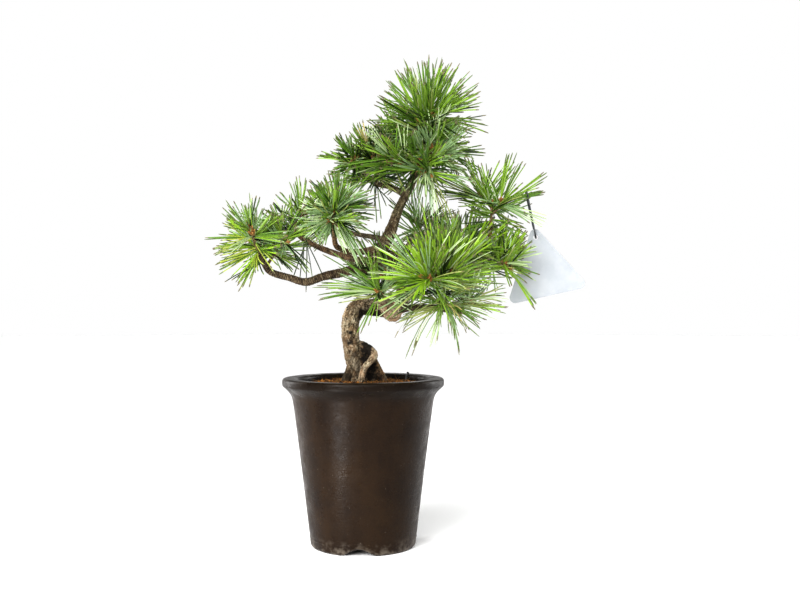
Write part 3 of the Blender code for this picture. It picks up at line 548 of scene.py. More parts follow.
@dataclass(frozen=True)
class Pot:
    """The tall round pot: a slim foot with three notches, a wall that opens upward, a rolled lip."""

    foot_radius: float = 0.0451
    foot_round: float = 0.0034
    wall_foot_radius: float = 0.0486
    wall_top_radius: float = 0.0649
    wall_foot_z: float = 0.0040
    wall_top_z: float = 0.1335
    wall_hollow: float = 0.075
    wall_thickness: float = 0.0058
    floor_thickness: float = 0.012
    inner_bend_z: float = 0.1382
    lip_radius: float = 0.0746
    lip_top_z: float = 0.1543
    lip_round: float = 0.0042
    squared: float = 0.13
    mouth_radius: float = 0.0600
    mouth_round: float = 0.0030
    neck: tuple[Row, ...] = ((0.0656, 0.1362), (0.0667, 0.1390), (0.0683, 0.1414), (0.0704, 0.1436))
    foot_line_z: float = 0.0088
    neck_lines_z: Row = (0.1308, 0.1330)
    line_height: float = 0.00022
    line_width: float = 0.0006
    notches: int = 3
    first_notch: float = math.radians(-92.8)
    notch_width: float = 0.038
    notch_height: float = 0.006
    notch_eased_to: float = 0.014
    drain_radius: float = 0.005
    drain_from_axis: float = 0.024
    segments: int = 216

    def wall(self, z: Array | float) -> Array | float:
        """Outer radius at a height: foot + (top - foot) (rise (1 - hollow) + hollow rise squared)."""
        rise = (z - self.wall_foot_z) / (self.wall_top_z - self.wall_foot_z)
        opening = rise * (1 - self.wall_hollow) + self.wall_hollow * rise**2
        return self.wall_foot_radius + (self.wall_top_radius - self.wall_foot_radius) * opening

    def inner(self, z: float) -> float:
        """Inner radius at a height."""
        return float(self.wall(z)) - self.wall_thickness

    def outside(self) -> Array:
        """Profile from the axis under the pot, out round the foot and up to the roll of the lip."""
        under = np.stack((np.linspace(0, self.foot_radius, 30), np.zeros(30)), -1)
        foot = round_profile((self.foot_radius, self.foot_round), self.foot_round, -80, 0, 8)
        heights = np.concatenate((np.linspace(0.0045, 0.0165, 22), np.linspace(0.018, self.wall_top_z, 56)))
        radius = self.wall(heights)
        for line in (self.foot_line_z, *self.neck_lines_z):
            radius = radius + self.line_height * np.exp(-(((heights - line) / self.line_width) ** 2))
        lip_centre = (self.lip_radius - self.lip_round, self.lip_top_z - self.lip_round)
        cove = smooth_rows(((radius[-1], heights[-1]), *self.neck, (0.0726, 0.1457)), 0.0005)[1:]
        roll = round_profile(lip_centre, self.lip_round, -40, 90, 24)
        angles = np.radians(np.linspace(-40, 90, 25))[:, None]
        roll = lip_centre + (roll - lip_centre) * (1 + self.squared * np.sin(2 * angles) ** 2)
        return np.vstack([under, foot, np.stack((radius, heights), -1), cove, roll])

    def inside(self) -> Array:
        """Profile from the crest of the lip over the mouth and down the inner wall to the axis."""
        crest = [(self.mouth_radius + 0.0060, self.lip_top_z - 0.00015)]
        mouth_centre = (self.mouth_radius + self.mouth_round, self.lip_top_z - self.mouth_round - 0.0003)
        mouth = round_profile(mouth_centre, self.mouth_round, 90, 180, 8)
        heights = np.linspace(self.inner_bend_z, self.floor_thickness, 24)
        wall = [(self.inner(z), z) for z in heights]
        floor = [(radius, self.floor_thickness) for radius in np.linspace(wall[-1][0], 0, 6)[1:]]
        return np.vstack([crest, mouth, wall, floor])

    def notch_lift(self, points: Array) -> Array:
        """How far the notches lift the underside: height cos(pi t / 2) squared at t half widths aside."""
        lift = np.zeros(len(points))
        for number in range(self.notches):
            angle = self.first_notch + number * TURN / self.notches
            out = points[:, 0] * math.cos(angle) + points[:, 1] * math.sin(angle)
            aside = points[:, 1] * math.cos(angle) - points[:, 0] * math.sin(angle)
            half = 0.5 * self.notch_width * np.maximum(out, 1e-6) / self.wall_foot_radius
            t = np.clip(np.abs(aside) / half, 0, 1)
            opened = out > self.drain_from_axis - self.drain_radius
            lift = np.maximum(lift, np.where(opened, self.notch_height * np.cos(math.pi * t / 2) ** 2, 0))
        return lift

    def drain_cutters(self) -> list[Shell]:
        """A round plug through the floor for each drain hole."""
        found = []
        for number in range(self.notches):
            angle = self.first_notch + number * TURN / self.notches
            x, y = self.drain_from_axis * math.cos(angle), self.drain_from_axis * math.sin(angle)
            path = np.array([(x, y, z) for z in np.linspace(-0.004, self.floor_thickness + 0.004, 3)])
            found.append(tube_surface(path, np.full(3, self.drain_radius), 40))
        return found

    def build(self, glaze: DarkGlaze) -> Piece:
        """Turns the pot, lifts its foot over the notches, cuts the drain holes and glazes it.

        Args:
            glaze: The pot's finish.

        Returns:
            The pot.
        """
        outside = self.outside()
        profile = np.vstack([outside, self.inside()])
        points, faces = turned_surface(profile, self.segments)
        outer = slice(0, (len(outside) - 1) * self.segments)
        lift = self.notch_lift(points[outer])
        eased = np.clip(1 - points[outer, 2] / self.notch_eased_to, 0, 1)
        points[outer, 2] += lift * eased
        pot = lay_mesh("pot_glazed", points, *faces)
        plugs, sides = joined(self.drain_cutters())
        cutter = lay_mesh("drain_cutter", plugs, *sides)
        cut = pot.modifiers.new("drains", "BOOLEAN")
        cut.object, cut.operation, cut.solver = cutter, "DIFFERENCE", "MANIFOLD"
        apply_modifiers(pot)
        bpy.data.objects.remove(cutter, do_unlink=True)
        pot.data.set_sharp_from_angle(angle=math.radians(50))
        return dress(pot, glaze.material(), ("pot",))


def apply_modifiers(piece: Piece) -> None:
    """Puts the modifiers' result into the piece's own mesh."""
    bpy.context.view_layer.update()
    held = piece.evaluated_get(bpy.context.evaluated_depsgraph_get())
    mesh = bpy.data.meshes.new_from_object(held)
    piece.modifiers.clear()
    piece.data = mesh
    mesh.shade_smooth()


class Grain(Enum):
    """The kinds of granule in the soil, by display colour."""

    GOLD = (132, 88, 40)
    BROWN = (72, 44, 21)
    DARK = (34, 21, 12)


@dataclass(frozen=True)
class Soil:
    """The mound of soil in the pot, with granules, dry moss fibres and the end of a wire."""

    pot: Pot
    top_z: float = 0.1505
    edge_z: float = 0.1462
    level_radius: float = 0.031
    gap: float = 0.0003
    lumps: float = 0.0006
    bare_rim: float = 0.0012
    granules: int = 3600
    fibres: int = 1500
    fibre_girth: float = 0.00014
    peg_radius: float = 0.0013
    peg_place: Row = (0.0402, 0.0390)
    seed: int = 41

    def height(self, radius: Array) -> Array:
        """Height of the mound: level in the middle, then falling with the square of the way out."""
        share = np.clip((radius - self.level_radius) / (self.pot.mouth_radius - self.level_radius), 0, 1)
        return self.top_z - (self.top_z - self.edge_z) * share**2

    def scattered(self, count: int, rng: Draws) -> Array:
        """Places spread evenly over the mound: radius R sqrt(u), any angle, and the mound's height."""
        radius = (self.pot.mouth_radius - self.bare_rim) * np.sqrt(rng.uniform(0, 1, count))
        angle = rng.uniform(0, TURN, count)
        return np.stack((radius * np.cos(angle), radius * np.sin(angle), self.height(radius)), -1)

    def bed(self) -> Piece:
        """The closed body of soil, lumpy on top."""
        bottom = self.pot.floor_thickness + self.gap
        low = self.pot.inner(bottom) - self.gap
        side = self.pot.inner(self.pot.inner_bend_z) - self.gap
        edge = self.pot.mouth_radius - 2 * self.gap
        radii = np.linspace(edge, 0, 44)
        top = np.stack((radii, self.height(radii)), -1)
        profile = np.vstack([[(0, bottom), (low, bottom), (side, self.pot.inner_bend_z)], top])
        points, faces = turned_surface(profile, 120)
        upper = points[:, 2] > self.edge_z - 1e-6
        inward = np.clip((edge - np.hypot(points[:, 0], points[:, 1])) / 0.004, 0, 1)
        wave = ripple(points, 0.0034, 1) + 0.7 * ripple(points, 0.0085, 2)
        points[:, 2] += np.where(upper, self.lumps * wave * inward, 0)
        return lay_mesh("soil_bed", points, *faces)

    def granule_mesh(self, name: str, places: Array, rng: Draws) -> Piece:
        """Granules as flattened twenty-faced lumps: place + turn (size jitter corner).

        Args:
            name: The piece's name.
            places: Where each granule lies.
            rng: Source of the sizes and turns.

        Returns:
            The granules as one mesh.
        """
        gold = (1 + math.sqrt(5)) / 2
        signs = ((-1, gold), (1, gold), (-1, -gold), (1, -gold))
        corners = [np.roll((a, b, 0), turn) for turn in (0, 1, 2) for a, b in signs]
        corners = unit(np.array(corners, float))
        near = np.linalg.norm(corners[:, None] - corners[None], axis=-1)
        edge = near[near > 0].min() * 1.01
        trios = [
            (a, b, c)
            for a in range(12)
            for b in range(a + 1, 12)
            for c in range(b + 1, 12)
            if max(near[a, b], near[b, c], near[a, c]) < edge
        ]
        turned = [np.linalg.det(corners[list(trio)]) > 0 for trio in trios]
        faces = np.array([trio if right else trio[::2] + trio[1:2] for trio, right in zip(trios, turned)])
        count = len(places)
        sizes = rng.gamma(5.0, 0.00013, count)[:, None, None]
        lumps = corners[None] * rng.uniform(0.72, 1.15, (count, 12, 1)) * sizes
        lumps = lumps * rng.uniform(0.55, 1.2, (count, 1, 3))
        along = unit(rng.normal(size=(count, 3)))
        side, up = across(along)
        frames = np.stack((along, side, up), 1)
        points = lumps @ frames + places[:, None]
        every = (faces[None] + (np.arange(count) * 12)[:, None, None]).reshape(-1, 3)
        return lay_mesh(name, points.reshape(-1, 3), every)

    def fibre_mesh(self, rng: Draws) -> Piece:
        """Dry moss fibres that lie curled over the mound."""
        places = self.scattered(self.fibres, rng)
        places[:, :2] *= 0.93
        places[:, 2] += 0.0004
        ways = rng.uniform(0, TURN, self.fibres)
        lengths = rng.uniform(0.002, 0.0065, self.fibres)
        reaches = np.stack((np.cos(ways), np.sin(ways), rng.uniform(-0.1, 0.5, self.fibres)), -1)
        bends = rng.normal(0, 0.4, (self.fibres, 3)) - (0, 0, 0.3)
        girths = np.full(self.fibres, self.fibre_girth)
        held = Strands(places, reaches * lengths[:, None], bends * lengths[:, None], girths, ways)
        return held.mesh("soil_fibres", (0, 0.3, 0.6, 1), (1, 1, 0.8), 3)

    def build(self) -> None:
        """Lays the bed, three kinds of granule, the fibres and the wire's end."""
        rng = np.random.default_rng(self.seed)
        bed = Mottled("soil_bed", tint(27, 17, 9), tint(68, 44, 23))
        dress(self.bed(), bed.material(), ("soil",))
        places = self.scattered(self.granules, rng)
        places[:, 2] += rng.uniform(0.0001, 0.0007, self.granules)
        kinds = rng.choice(len(Grain), self.granules, p=(0.26, 0.42, 0.32))
        for number, grain in enumerate(Grain):
            light = tuple(min(255, round(1.25 * part)) for part in grain.value)
            name = "soil_granules_" + grain.name.lower()
            finish = Mottled(name, tint(*grain.value), tint(*light))
            piece = self.granule_mesh(name, places[kinds == number], rng)
            dress(piece, finish.material())
        moss = Mottled("soil_moss", tint(100, 70, 34), tint(156, 118, 62))
        dress(self.fibre_mesh(rng), moss.material())
        self.peg()

    def peg(self) -> None:
        """The dark end of a wire that stands up out of the soil at the back."""
        x, y = self.peg_place
        foot = float(self.height(np.hypot(x, y))) - 0.004
        path = smooth_rows(((x, y, foot), (x, y, foot + 0.007), (x + 0.0014, y, foot + 0.0132)), 0.0005)
        radii = self.peg_radius + 0.00015 * ripple(path, 0.002, 8)
        points, faces = tube_surface(path, radii, 12)
        cloud, relief = (500, 3, 0.4, 0.6), (1200, 3, 0.0002, 0.5)
        wire = Mottled("dark_wire", tint(12, 11, 10), tint(28, 24, 20), 0.5, 0.5, cloud, relief)
        dress(lay_mesh("soil_peg", points, *faces), wire.material())


@dataclass(frozen=True)
class Bark:
    """Old plated bark: plates of many tones, dark cracks that on the trunk also carry painted shade, and a
    warmer skin where it is young or torn.
    """

    hollow: Colour = tint(47, 33, 22)
    grey: Colour = tint(112, 98, 76)
    pale: Colour = tint(200, 187, 162)
    crack: Colour = tint(14, 9, 5)
    warm: Colour = tint(180, 136, 98)
    moss: Colour = tint(120, 121, 86)

    def material(self) -> Material:
        """Reads the mesh's bark attribute: x is a plate's tone, y its crack, which on the trunk also holds
        dark knots and painted shade, z how warm the skin is.
        """
        mix = Recipe("plated_bark", 0.86, 0.25)
        laid = mix.node("ShaderNodeAttribute", {"attribute_name": "bark"}).outputs["Vector"]
        parts = mix.node("ShaderNodeSeparateXYZ", Vector=laid)
        tone, crack, warm = (parts.outputs[axis] for axis in "XYZ")
        low = mix.mix(mix.level(tone, 0.05, 0.5), self.hollow, self.grey)
        colour = mix.mix(mix.level(tone, 0.45, 0.95), low, self.pale)
        colour = mix.mix(mix.times(warm, mix.level(mix.noise(160, 4), 0.35, 0.62)), colour, self.warm)
        height = mix.node("ShaderNodeSeparateXYZ", Vector=mix.place).outputs["Z"]
        green = mix.times(mix.level(height, 0.26, 0.34, 0.15, 0.6), mix.level(mix.noise(75, 5), 0.38, 0.7))
        colour = mix.mix(green, colour, self.moss)
        fibres = mix.level(mix.noise(620, 7, mix.stretched(1, 1, 0.3)), 0.48, 0.64, 0.0, 0.35)
        colour = mix.mix(fibres, colour, self.hollow)
        # Cracks, dark knots and the trunk's painted shade all take the near-black crack colour.
        colour = mix.mix(mix.level(crack, 0.15, 0.9, 0.0, 0.97), colour, self.crack)
        mix.colour(colour)
        mix.bump(mix.noise(1100, 7, mix.stretched(1, 1, 0.6)), 0.0012, 1.0)
        return mix.material


@dataclass(frozen=True)
class Plates:
    """Bark plates laid round a limb, as jittered cells with cracks where two cells meet."""

    length: float = 0.0062
    round: int = 15
    crack_width: float = 0.36
    crack_depth: float = 0.0009
    flake: float = 0.0010
    frayed: float = 0.75
    ridge: float = 0.0
    ridge_step: float = 0.0015
    rows: int = 61

    def lay(self, along: Array, turn: Array, points: Array, seed: int) -> tuple[Array, ...]:
        """Works out the relief at every place of a limb.

        The place is first frayed by rough noise. With the nearest cell centre at distance f and the
        second nearest at g, the crack is 1 - (g - f) / crack_width, held at 0 and 1 and opened only
        where another noise is high; the lift is flake (tone - f) minus the crack's depth, plus cross
        ridges ridge sin(turn along / ridge_step). The shown tone is 0.44 + 0.42 (tone - 0.5)
        - 0.36 (f - 0.45), plus noise drawn out along Z and, on ridged bark, a quarter of the ridges.

        Args:
            along: Distance along the limb, in metres.
            turn: Angle round the limb.
            points: The places themselves.
            seed: Which limb.

        Returns:
            The lift in metres, the tone of the plate and the depth of the crack as shares.
        """
        table = np.random.default_rng(seed).random((self.rows, self.round, 3))
        u, v = np.broadcast_arrays(turn / TURN * self.round, along / self.length)
        u = u + self.frayed * rough(points, 0.0032, seed)
        wavy = 0.45 * np.sin(2 * turn + 3 * v / self.round + seed)
        v = v + wavy + self.frayed * rough(points, 0.0030, seed + 7)
        base_u, base_v = np.floor(u).astype(int), np.floor(v).astype(int)
        nearest, second, tone = np.full(u.shape, 9.0), np.full(u.shape, 9.0), np.zeros(u.shape)
        for step_v in (-1, 0, 1):
            for step_u in (-1, 0, 1):
                cell_u, cell_v = base_u + step_u, base_v + step_v
                cell = table[cell_v % self.rows, cell_u % self.round]
                far = np.hypot(cell_u + 0.15 + 0.7 * cell[..., 0] - u, cell_v + 0.1 + 0.8 * cell[..., 1] - v)
                closer = far < nearest
                second = np.where(closer, nearest, np.minimum(second, far))
                tone = np.where(closer, cell[..., 2], tone)
                nearest = np.minimum(nearest, far)
        opened = np.clip(0.66 + 1.1 * rough(points, 0.008, seed + 3), 0, 1)
        crack = np.clip(1 - (second - nearest) / self.crack_width, 0, 1) * opened
        lift = self.flake * (tone - nearest) - self.crack_depth * crack**1.5
        wave = np.sin(TURN * along / self.ridge_step + 2.2 * rough(points, 0.008, seed + 5))
        crack = np.maximum(crack, np.clip(-wave, 0, 1) * (0.75 if self.ridge else 0.0))
        worn = 0.44 + 0.42 * (tone - 0.5) - 0.36 * (nearest - 0.45)
        worn = worn + 0.26 * rough(points * (1, 1, 0.36), 0.0026, seed + 9)
        return lift + self.ridge * wave, np.clip(worn + 0.25 * wave * (self.ridge > 0), 0, 1), crack


def set_bark(mesh: bpy.types.Mesh, tone: Array, crack: Array, warm: Array) -> None:
    """Stores the bark attribute, three shares for each point."""
    laid = mesh.attributes.new("bark", "FLOAT_VECTOR", "POINT")
    laid.data.foreach_set("vector", np.stack((tone, crack, warm), -1).astype(np.float32).reshape(-1))


@dataclass(frozen=True)
class Limb:
    """A limb of the trunk's own mesh: x, y, z and radius in each row, and how warm its bark is."""

    name: str
    rows: tuple[Row, ...]
    warmth: float = 0.2
    tone: float = 0.0


@dataclass(frozen=True)
class Bough:
    """A tapering limb from inside its parent to where its tuft begins."""

    name: str
    route: tuple[Row, ...]
    base_radius: float
    tip_radius: float
    warmth: float = 0.05


TRUNK_LIMBS = (
    Limb("trunk", metre_rows(
        "-7 1 144 9.4, -7.4 1 156 7.4, -8.2 1 165 6.6, -10 0 176 7.4, -11.9 0 193 7.9, -11.2 1 209 8.1, "
        "-4 4 219 8, 8 4 219.5 7.4, 24 0 218.5 8, 34.5 2 226.5 7.8, 39.2 7 239 7.4, 37.6 10 252 7.4, "
        "28.3 10 264 7.3, 17.1 7 264.5 7.2, 8 2 259.4 6.6"
    ), 0.22, 0.18),
    Limb("leader", metre_rows(
        "7.1 0 259.3 6.4, 22.9 -4 284 5.5, 33.9 0 312.9 4, 46 4 336.5 3.3, 55.2 2 365 2"
    ), 0.1, -0.12),
    Limb("knee", metre_rows(
        "-8 3 183.8 5.4, 0.6 1 182.2 5, 7.8 -3 178.2 4.2, 9.7 -7 173.8 3.7, 6.4 -11 169.4 3, "
        "1.4 -14 164 2.8, -0.9 -16 156 2.9, -2.6 -17 146 3.2"
    ), 0.4, 0.3),
    Limb("root_right", metre_rows(
        "4 3 178 4.6, 10.8 3 165.5 4, 16.3 4 156 3.8, 20.5 5 146 3.6"
    ), 0.6, -0.25),
    Limb("root_middle", metre_rows("-3 2 179 5, 3.5 2 165 5.8, 7.5 2 146 6.8"), 0.2, -0.3),
    Limb("root_left", metre_rows(
        "-9.5 -1 167 5, -12.8 -3 159.2 4.4, -15.8 -5 152 4.2, -18 -6 145 4"
    ), 0.2, -0.2),
    Limb("root_back", metre_rows("-9 2 174 5.5, -7 12 162 4.5, -5 19 146 3.4"), 0.3, 0.0),
    Limb("burl", metre_rows(
        "18.6 -3 215.2 2, 20.2 -3 215.1 5.4, 23 -4 214.9 7.6, 27 -4 214.6 8.7, 31 -4 214.3 7.6, "
        "33.6 -3 214.2 5.2, 35 -3 214.1 2"
    ), 0.75, 1.1),
    Limb("fork", metre_rows("6.8 1 259 7, 9.2 3 260 7"), 0.15, 0.0),
)

BOUGHS = (
    Bough("left_low", metre_rows(
        "6 0 258, -17.4 -8 251.6, -36 -13 247.3, -51.6 -15 242.3, -66 -17 246, -82.8 -20 251.2, "
        "-89 -21 259.3, -93.4 -22 268.5"
    ), 0.0046, 0.0026),
    Bough("left_mid", metre_rows(
        "8 4 260.5, -9.9 10 264.5, -34.1 20 272.4, -55.6 28 282.3, -64.4 30 289.5"
    ), 0.0033, 0.0022, 0.3),
    Bough("left_front", metre_rows(
        "15 -3 272, -9 -13 269.7, -19.3 -24 271.8, -24.1 -32 276.7, -24.4 -42 295"
    ), 0.003, 0.0021, 0.5),
    Bough("top_left", metre_rows(
        "39 2 324, 24.6 2 330.7, 12.5 4 333.7, 0.5 4 340.2, -7.8 2 348.5"
    ), 0.0024, 0.002),
    Bough("right", metre_rows(
        "38.6 6 239, 54.4 8 241, 71.4 12 244.8, 90.1 12 248.5, 107.5 10 252"
    ), 0.0033, 0.0023, 0.3),
    Bough("right_high", metre_rows(
        "101 11 250.7, 109 10 259, 116.6 4 281.7, 118.2 2 297.5"
    ), 0.0022, 0.0018, 0.9),
    Bough("right_front", metre_rows(
        "30 -1 217.5, 45.6 -20 218.8, 60 -36 219, 73.5 -46 217.8, 87.2 -52 213.5"
    ), 0.0032, 0.0027, 0.0),
    Bough("low_front", metre_rows("33 -1 222, 27 -15 227, 21 -26 229.4"), 0.0024, 0.0019, 0.5),
    Bough("back", metre_rows("34 10 258, 36 30 268, 42 46 280, 48.6 58 292"), 0.0028, 0.0018),
    Bough("back_left", metre_rows(
        "20.5 -3 280, 10 15 285, -10 40 290, -24 55 296"
    ), 0.0025, 0.0017),
    Bough("top_back", metre_rows("46 4 336.5, 45.5 18 343, 45.4 33 350"), 0.0021, 0.0018),
    Bough("low_back", metre_rows("10 4 219.5, 12 24 223, 14 40 232"), 0.0024, 0.0018),
)


@dataclass(frozen=True)
class DarkPatch:
    """A dark patch of bark round a place, fading out at its reach; used for dark knots and marks, and for
    painted shade in recesses.
    """

    centre: Row
    reach: float
    depth: float

    def shade(self, points: Array) -> Array:
        """How dark each point is: depth (1.8 - 1.4 distance / reach + 0.4 noise), held at 0 and depth."""
        far = np.linalg.norm(points - self.centre, axis=1) / self.reach
        return np.clip(self.depth * (1.8 - 1.4 * far + 0.4 * rough(points, 0.004, 90)), 0, self.depth)


def dark_patches(depth: float, text: str) -> tuple[DarkPatch, ...]:
    """Dark patches of one depth, from rows of x, y, z and reach in millimetres."""
    return tuple(DarkPatch(row[:3], row[3], depth) for row in metre_rows(text))


@dataclass(frozen=True)
class Wood:
    """Trunk, roots and boughs with the relief of their bark."""

    limb_step: float = 0.0012
    limb_sides: int = 28
    base_sides: int = 16
    full_girth: float = 0.0085
    voxel: float = 0.00052
    eased: int = 5
    ring_step: float = 0.0008
    bough_sides: int = 22
    collar_length: float = 0.012
    collar_swell: float = 0.45
    trunk_plates: Plates = Plates()
    bough_plates: Plates = Plates(
        length=0.0050, round=5, crack_depth=0.00016, crack_width=0.2, flake=0.00024, ridge=0.00024
    )
    # Dark patches on the trunk. The deepest ones, and the one low between the roots at 13 0 152, are painted
    # shade in the recess between trunk and knee, under the arch and between the roots; the smallest are dark
    # knots; the larger shallow ones darken the front of the lower trunk, the root junctions and the arch.
    stains_and_painted_shade: tuple[DarkPatch, ...] = (
        *dark_patches(
            1.0,
            "4.2 -4 187 8.2, 2.8 -5 179 7, 1.2 -6 171.5 6, 7.5 -2 164 6.2, 2 -4 211.5 8.5, 11 -4 211.5 8.5, "
            "4 0 184 7.2, 7.8 3 176 7.6, 6 -6 156 6.6"
        ),
        *dark_patches(0.9, "-11.8 -8 195.7 2.3, -12.8 -8 186.6 2.4"),
        *dark_patches(0.8, "-14.2 -8 196.8 1.7, -10.4 -8 188 1.8, 13 0 152 7"),
        *dark_patches(
            0.7,
            "-9.6 -8 196.7 1.3, -14.6 -8 188.7 1.5, -9.7 -8 185.5 1.4, -12 -7 179 1.6, -7 -8 176 3.8, "
            "-4 -8 160 6, -15 -6 156 7.5, 35 -8 226 6.5"
        ),
        *dark_patches(0.5, "-8 -7 164 5.5"),
        *dark_patches(0.45, "-9 -7 170 6"),
    )

    def limb_path(self, limb: Limb) -> Array:
        """The limb's centre line and radius, sampled closely."""
        return smooth_rows(limb.rows, self.limb_step)

    def bough_path(self, bough: Bough) -> Array:
        """The bough's centre line and radius: straight taper, swollen in a collar at its base."""
        path = smooth_rows(bough.route, self.ring_step)
        radii = np.linspace(bough.base_radius, bough.tip_radius, len(path))
        swell = 1 + self.collar_swell * np.exp(-((run_lengths(path) / self.collar_length) ** 2))
        return np.column_stack([path, radii * swell])

    def limb_points(self) -> Array:
        """Centre and radius all along every limb and bough, for what must keep out of them."""
        paths = [smooth_rows(limb.rows, 0.003) for limb in TRUNK_LIMBS]
        paths += [self.bough_path(bough)[::4] for bough in BOUGHS]
        return np.vstack(paths)

    def welded(self) -> Piece:
        """One skin over trunk, leader, roots, burl and the bases of the boughs, eased at the joins."""
        base = round(1.1 * self.collar_length / self.ring_step)
        paths = [(self.limb_path(limb), self.limb_sides) for limb in TRUNK_LIMBS]
        paths += [(self.bough_path(bough)[:base], self.base_sides) for bough in BOUGHS]
        points, faces = joined([tube_surface(path[:, :3], path[:, 3], sides) for path, sides in paths])
        wood = lay_mesh("bark_trunk", points, *faces)
        skin = wood.modifiers.new("weld", "REMESH")
        skin.mode, skin.voxel_size = "VOXEL", self.voxel
        ease = wood.modifiers.new("ease", "SMOOTH")
        ease.iterations, ease.factor = self.eased, 0.5
        apply_modifiers(wood)
        return wood

    def nearest_limb(self, points: Array) -> tuple[Array, ...]:
        """For each point, the limb whose skin is nearest, and the place along and round it.

        Args:
            points: Places on the skin.

        Returns:
            Distance along the limb, angle round it, the limb's number and its radius there.
        """
        best = np.full(len(points), 1e9)
        along, turn, owner, girth = (np.zeros(len(points)) for _ in range(4))
        for number, limb in enumerate(TRUNK_LIMBS):
            path = self.limb_path(limb)
            tangents, side, up = carried_frames(path[:, :3])
            length = run_lengths(path[:, :3])
            ratio = np.sqrt(np.maximum(squares_between(points, path[:, :3]), 0)) / path[:, 3]
            nearest = ratio.argmin(1)
            held = ratio[np.arange(len(points)), nearest]
            away = points - path[nearest, :3]
            closer = held < best
            best = np.where(closer, held, best)
            along = np.where(closer, length[nearest] + (away * tangents[nearest]).sum(1), along)
            angle = np.arctan2((away * up[nearest]).sum(1), (away * side[nearest]).sum(1))
            turn = np.where(closer, angle, turn)
            owner = np.where(closer, number, owner)
            girth = np.where(closer, path[nearest, 3], girth)
        return along, turn, owner.astype(int), girth

    def build_trunk(self, bark: Material) -> None:
        """Welds the trunk's skin and raises its plates along the skin's normals."""
        wood = self.welded()
        mesh = wood.data
        points, normals = np.empty(len(mesh.vertices) * 3), np.empty(len(mesh.vertices) * 3)
        mesh.vertices.foreach_get("co", points)
        mesh.vertices.foreach_get("normal", normals)
        points, normals = points.reshape(-1, 3), normals.reshape(-1, 3)
        along, turn, owner, girth = self.nearest_limb(points)
        lift, tone, crack = self.trunk_plates.lay(along + 0.37 * owner, turn, points, 5)
        # Dark knots and the painted shade of the recesses join the cracks and take the crack colour.
        for patch in self.stains_and_painted_shade:
            crack = np.maximum(crack, patch.shade(points))
        slim = np.clip(girth / self.full_girth, 0.35, 1.0)
        grain = rough(points, 0.0030, 3) * 0.00032 + rough(points, 0.013, 4, 2) * 0.00040
        points += normals * (slim * (lift + grain))[:, None]
        mesh.vertices.foreach_set("co", points.reshape(-1))
        mesh.update()
        tones = np.array([limb.tone for limb in TRUNK_LIMBS])[owner]
        warmth = np.array([limb.warmth for limb in TRUNK_LIMBS])[owner]
        sunny = 0.18 * ripple(points, 0.028, 6)
        set_bark(mesh, np.clip(tone + 0.5 * tones + sunny, 0, 1), crack, warmth)
        dress(wood, bark, ("trunk",))

    def build_boughs(self, bark: Material) -> None:
        """Lays every bough as a tube with plates and fine ridges across it."""
        shells, tones, cracks, warmths = [], [], [], []
        turns = TURN * np.arange(self.bough_sides) / self.bough_sides
        for number, bough in enumerate(BOUGHS):
            path = self.bough_path(bough)
            along = np.arange(len(path))[:, None] * self.ring_step
            places = tube_surface(path[:, :3], path[:, 3], self.bough_sides)[0][:-2]
            places = places.reshape(len(path), self.bough_sides, 3)
            lift, tone, crack = self.bough_plates.lay(along, turns[None], places, 20 + number)
            knobs = 1 + 0.07 * ripple(path[:, :3], 0.014, 60 + number)[:, None]
            radii = path[:, 3:] * knobs + lift * np.clip(path[:, 3:] / 0.004, 0.4, 1.0)
            shells.append(tube_surface(path[:, :3], radii, self.bough_sides))
            tones += [(0.75 * tone - 0.10).reshape(-1), np.full(2, 0.9)]
            cracks += [crack.reshape(-1), np.zeros(2)]
            warmths.append(np.full(tone.size + 2, bough.warmth))
        points, faces = joined(shells)
        wood = lay_mesh("bark_boughs", points, *faces)
        set_bark(wood.data, np.concatenate(tones), np.concatenate(cracks), np.concatenate(warmths))
        dress(wood, bark, tuple("bough_" + bough.name for bough in BOUGHS))

    def build(self) -> None:
        """Builds the trunk and the boughs in one bark."""
        bark = Bark().material()
        self.build_trunk(bark)
        self.build_boughs(bark)


class Coat(Enum):
    """The colours of the needles, as display colours; each is one piece."""

    BRIGHT = (126, 158, 54)
    LEAF = (92, 126, 40)
    BLUISH = (134, 160, 112)
    # A dark green, partly painted shade: it is dealt out more in the skirts and in the SHADED tufts to darken
    # the inside of the foliage.
    DEEP = (34, 54, 14)
    # A whitish green for the waxy stomatal bands, and partly a painted highlight on the needles.
    PALE = (178, 196, 148)
    STRAW = (188, 174, 116)
    REED = (152, 160, 96)
    LIME = (138, 172, 46)
    GOLD = (160, 172, 74)


class Tip(Enum):
    """The colours that the needles' ends turn to, as display colours; each is one piece."""

    ASH = (112, 106, 78)
    OLIVE = (90, 108, 50)


@dataclass(frozen=True)
class Blend:
    """Shares of the coats, in their order and as far as given, in a tuft's head and in its skirt."""

    head: Row
    skirt: Row


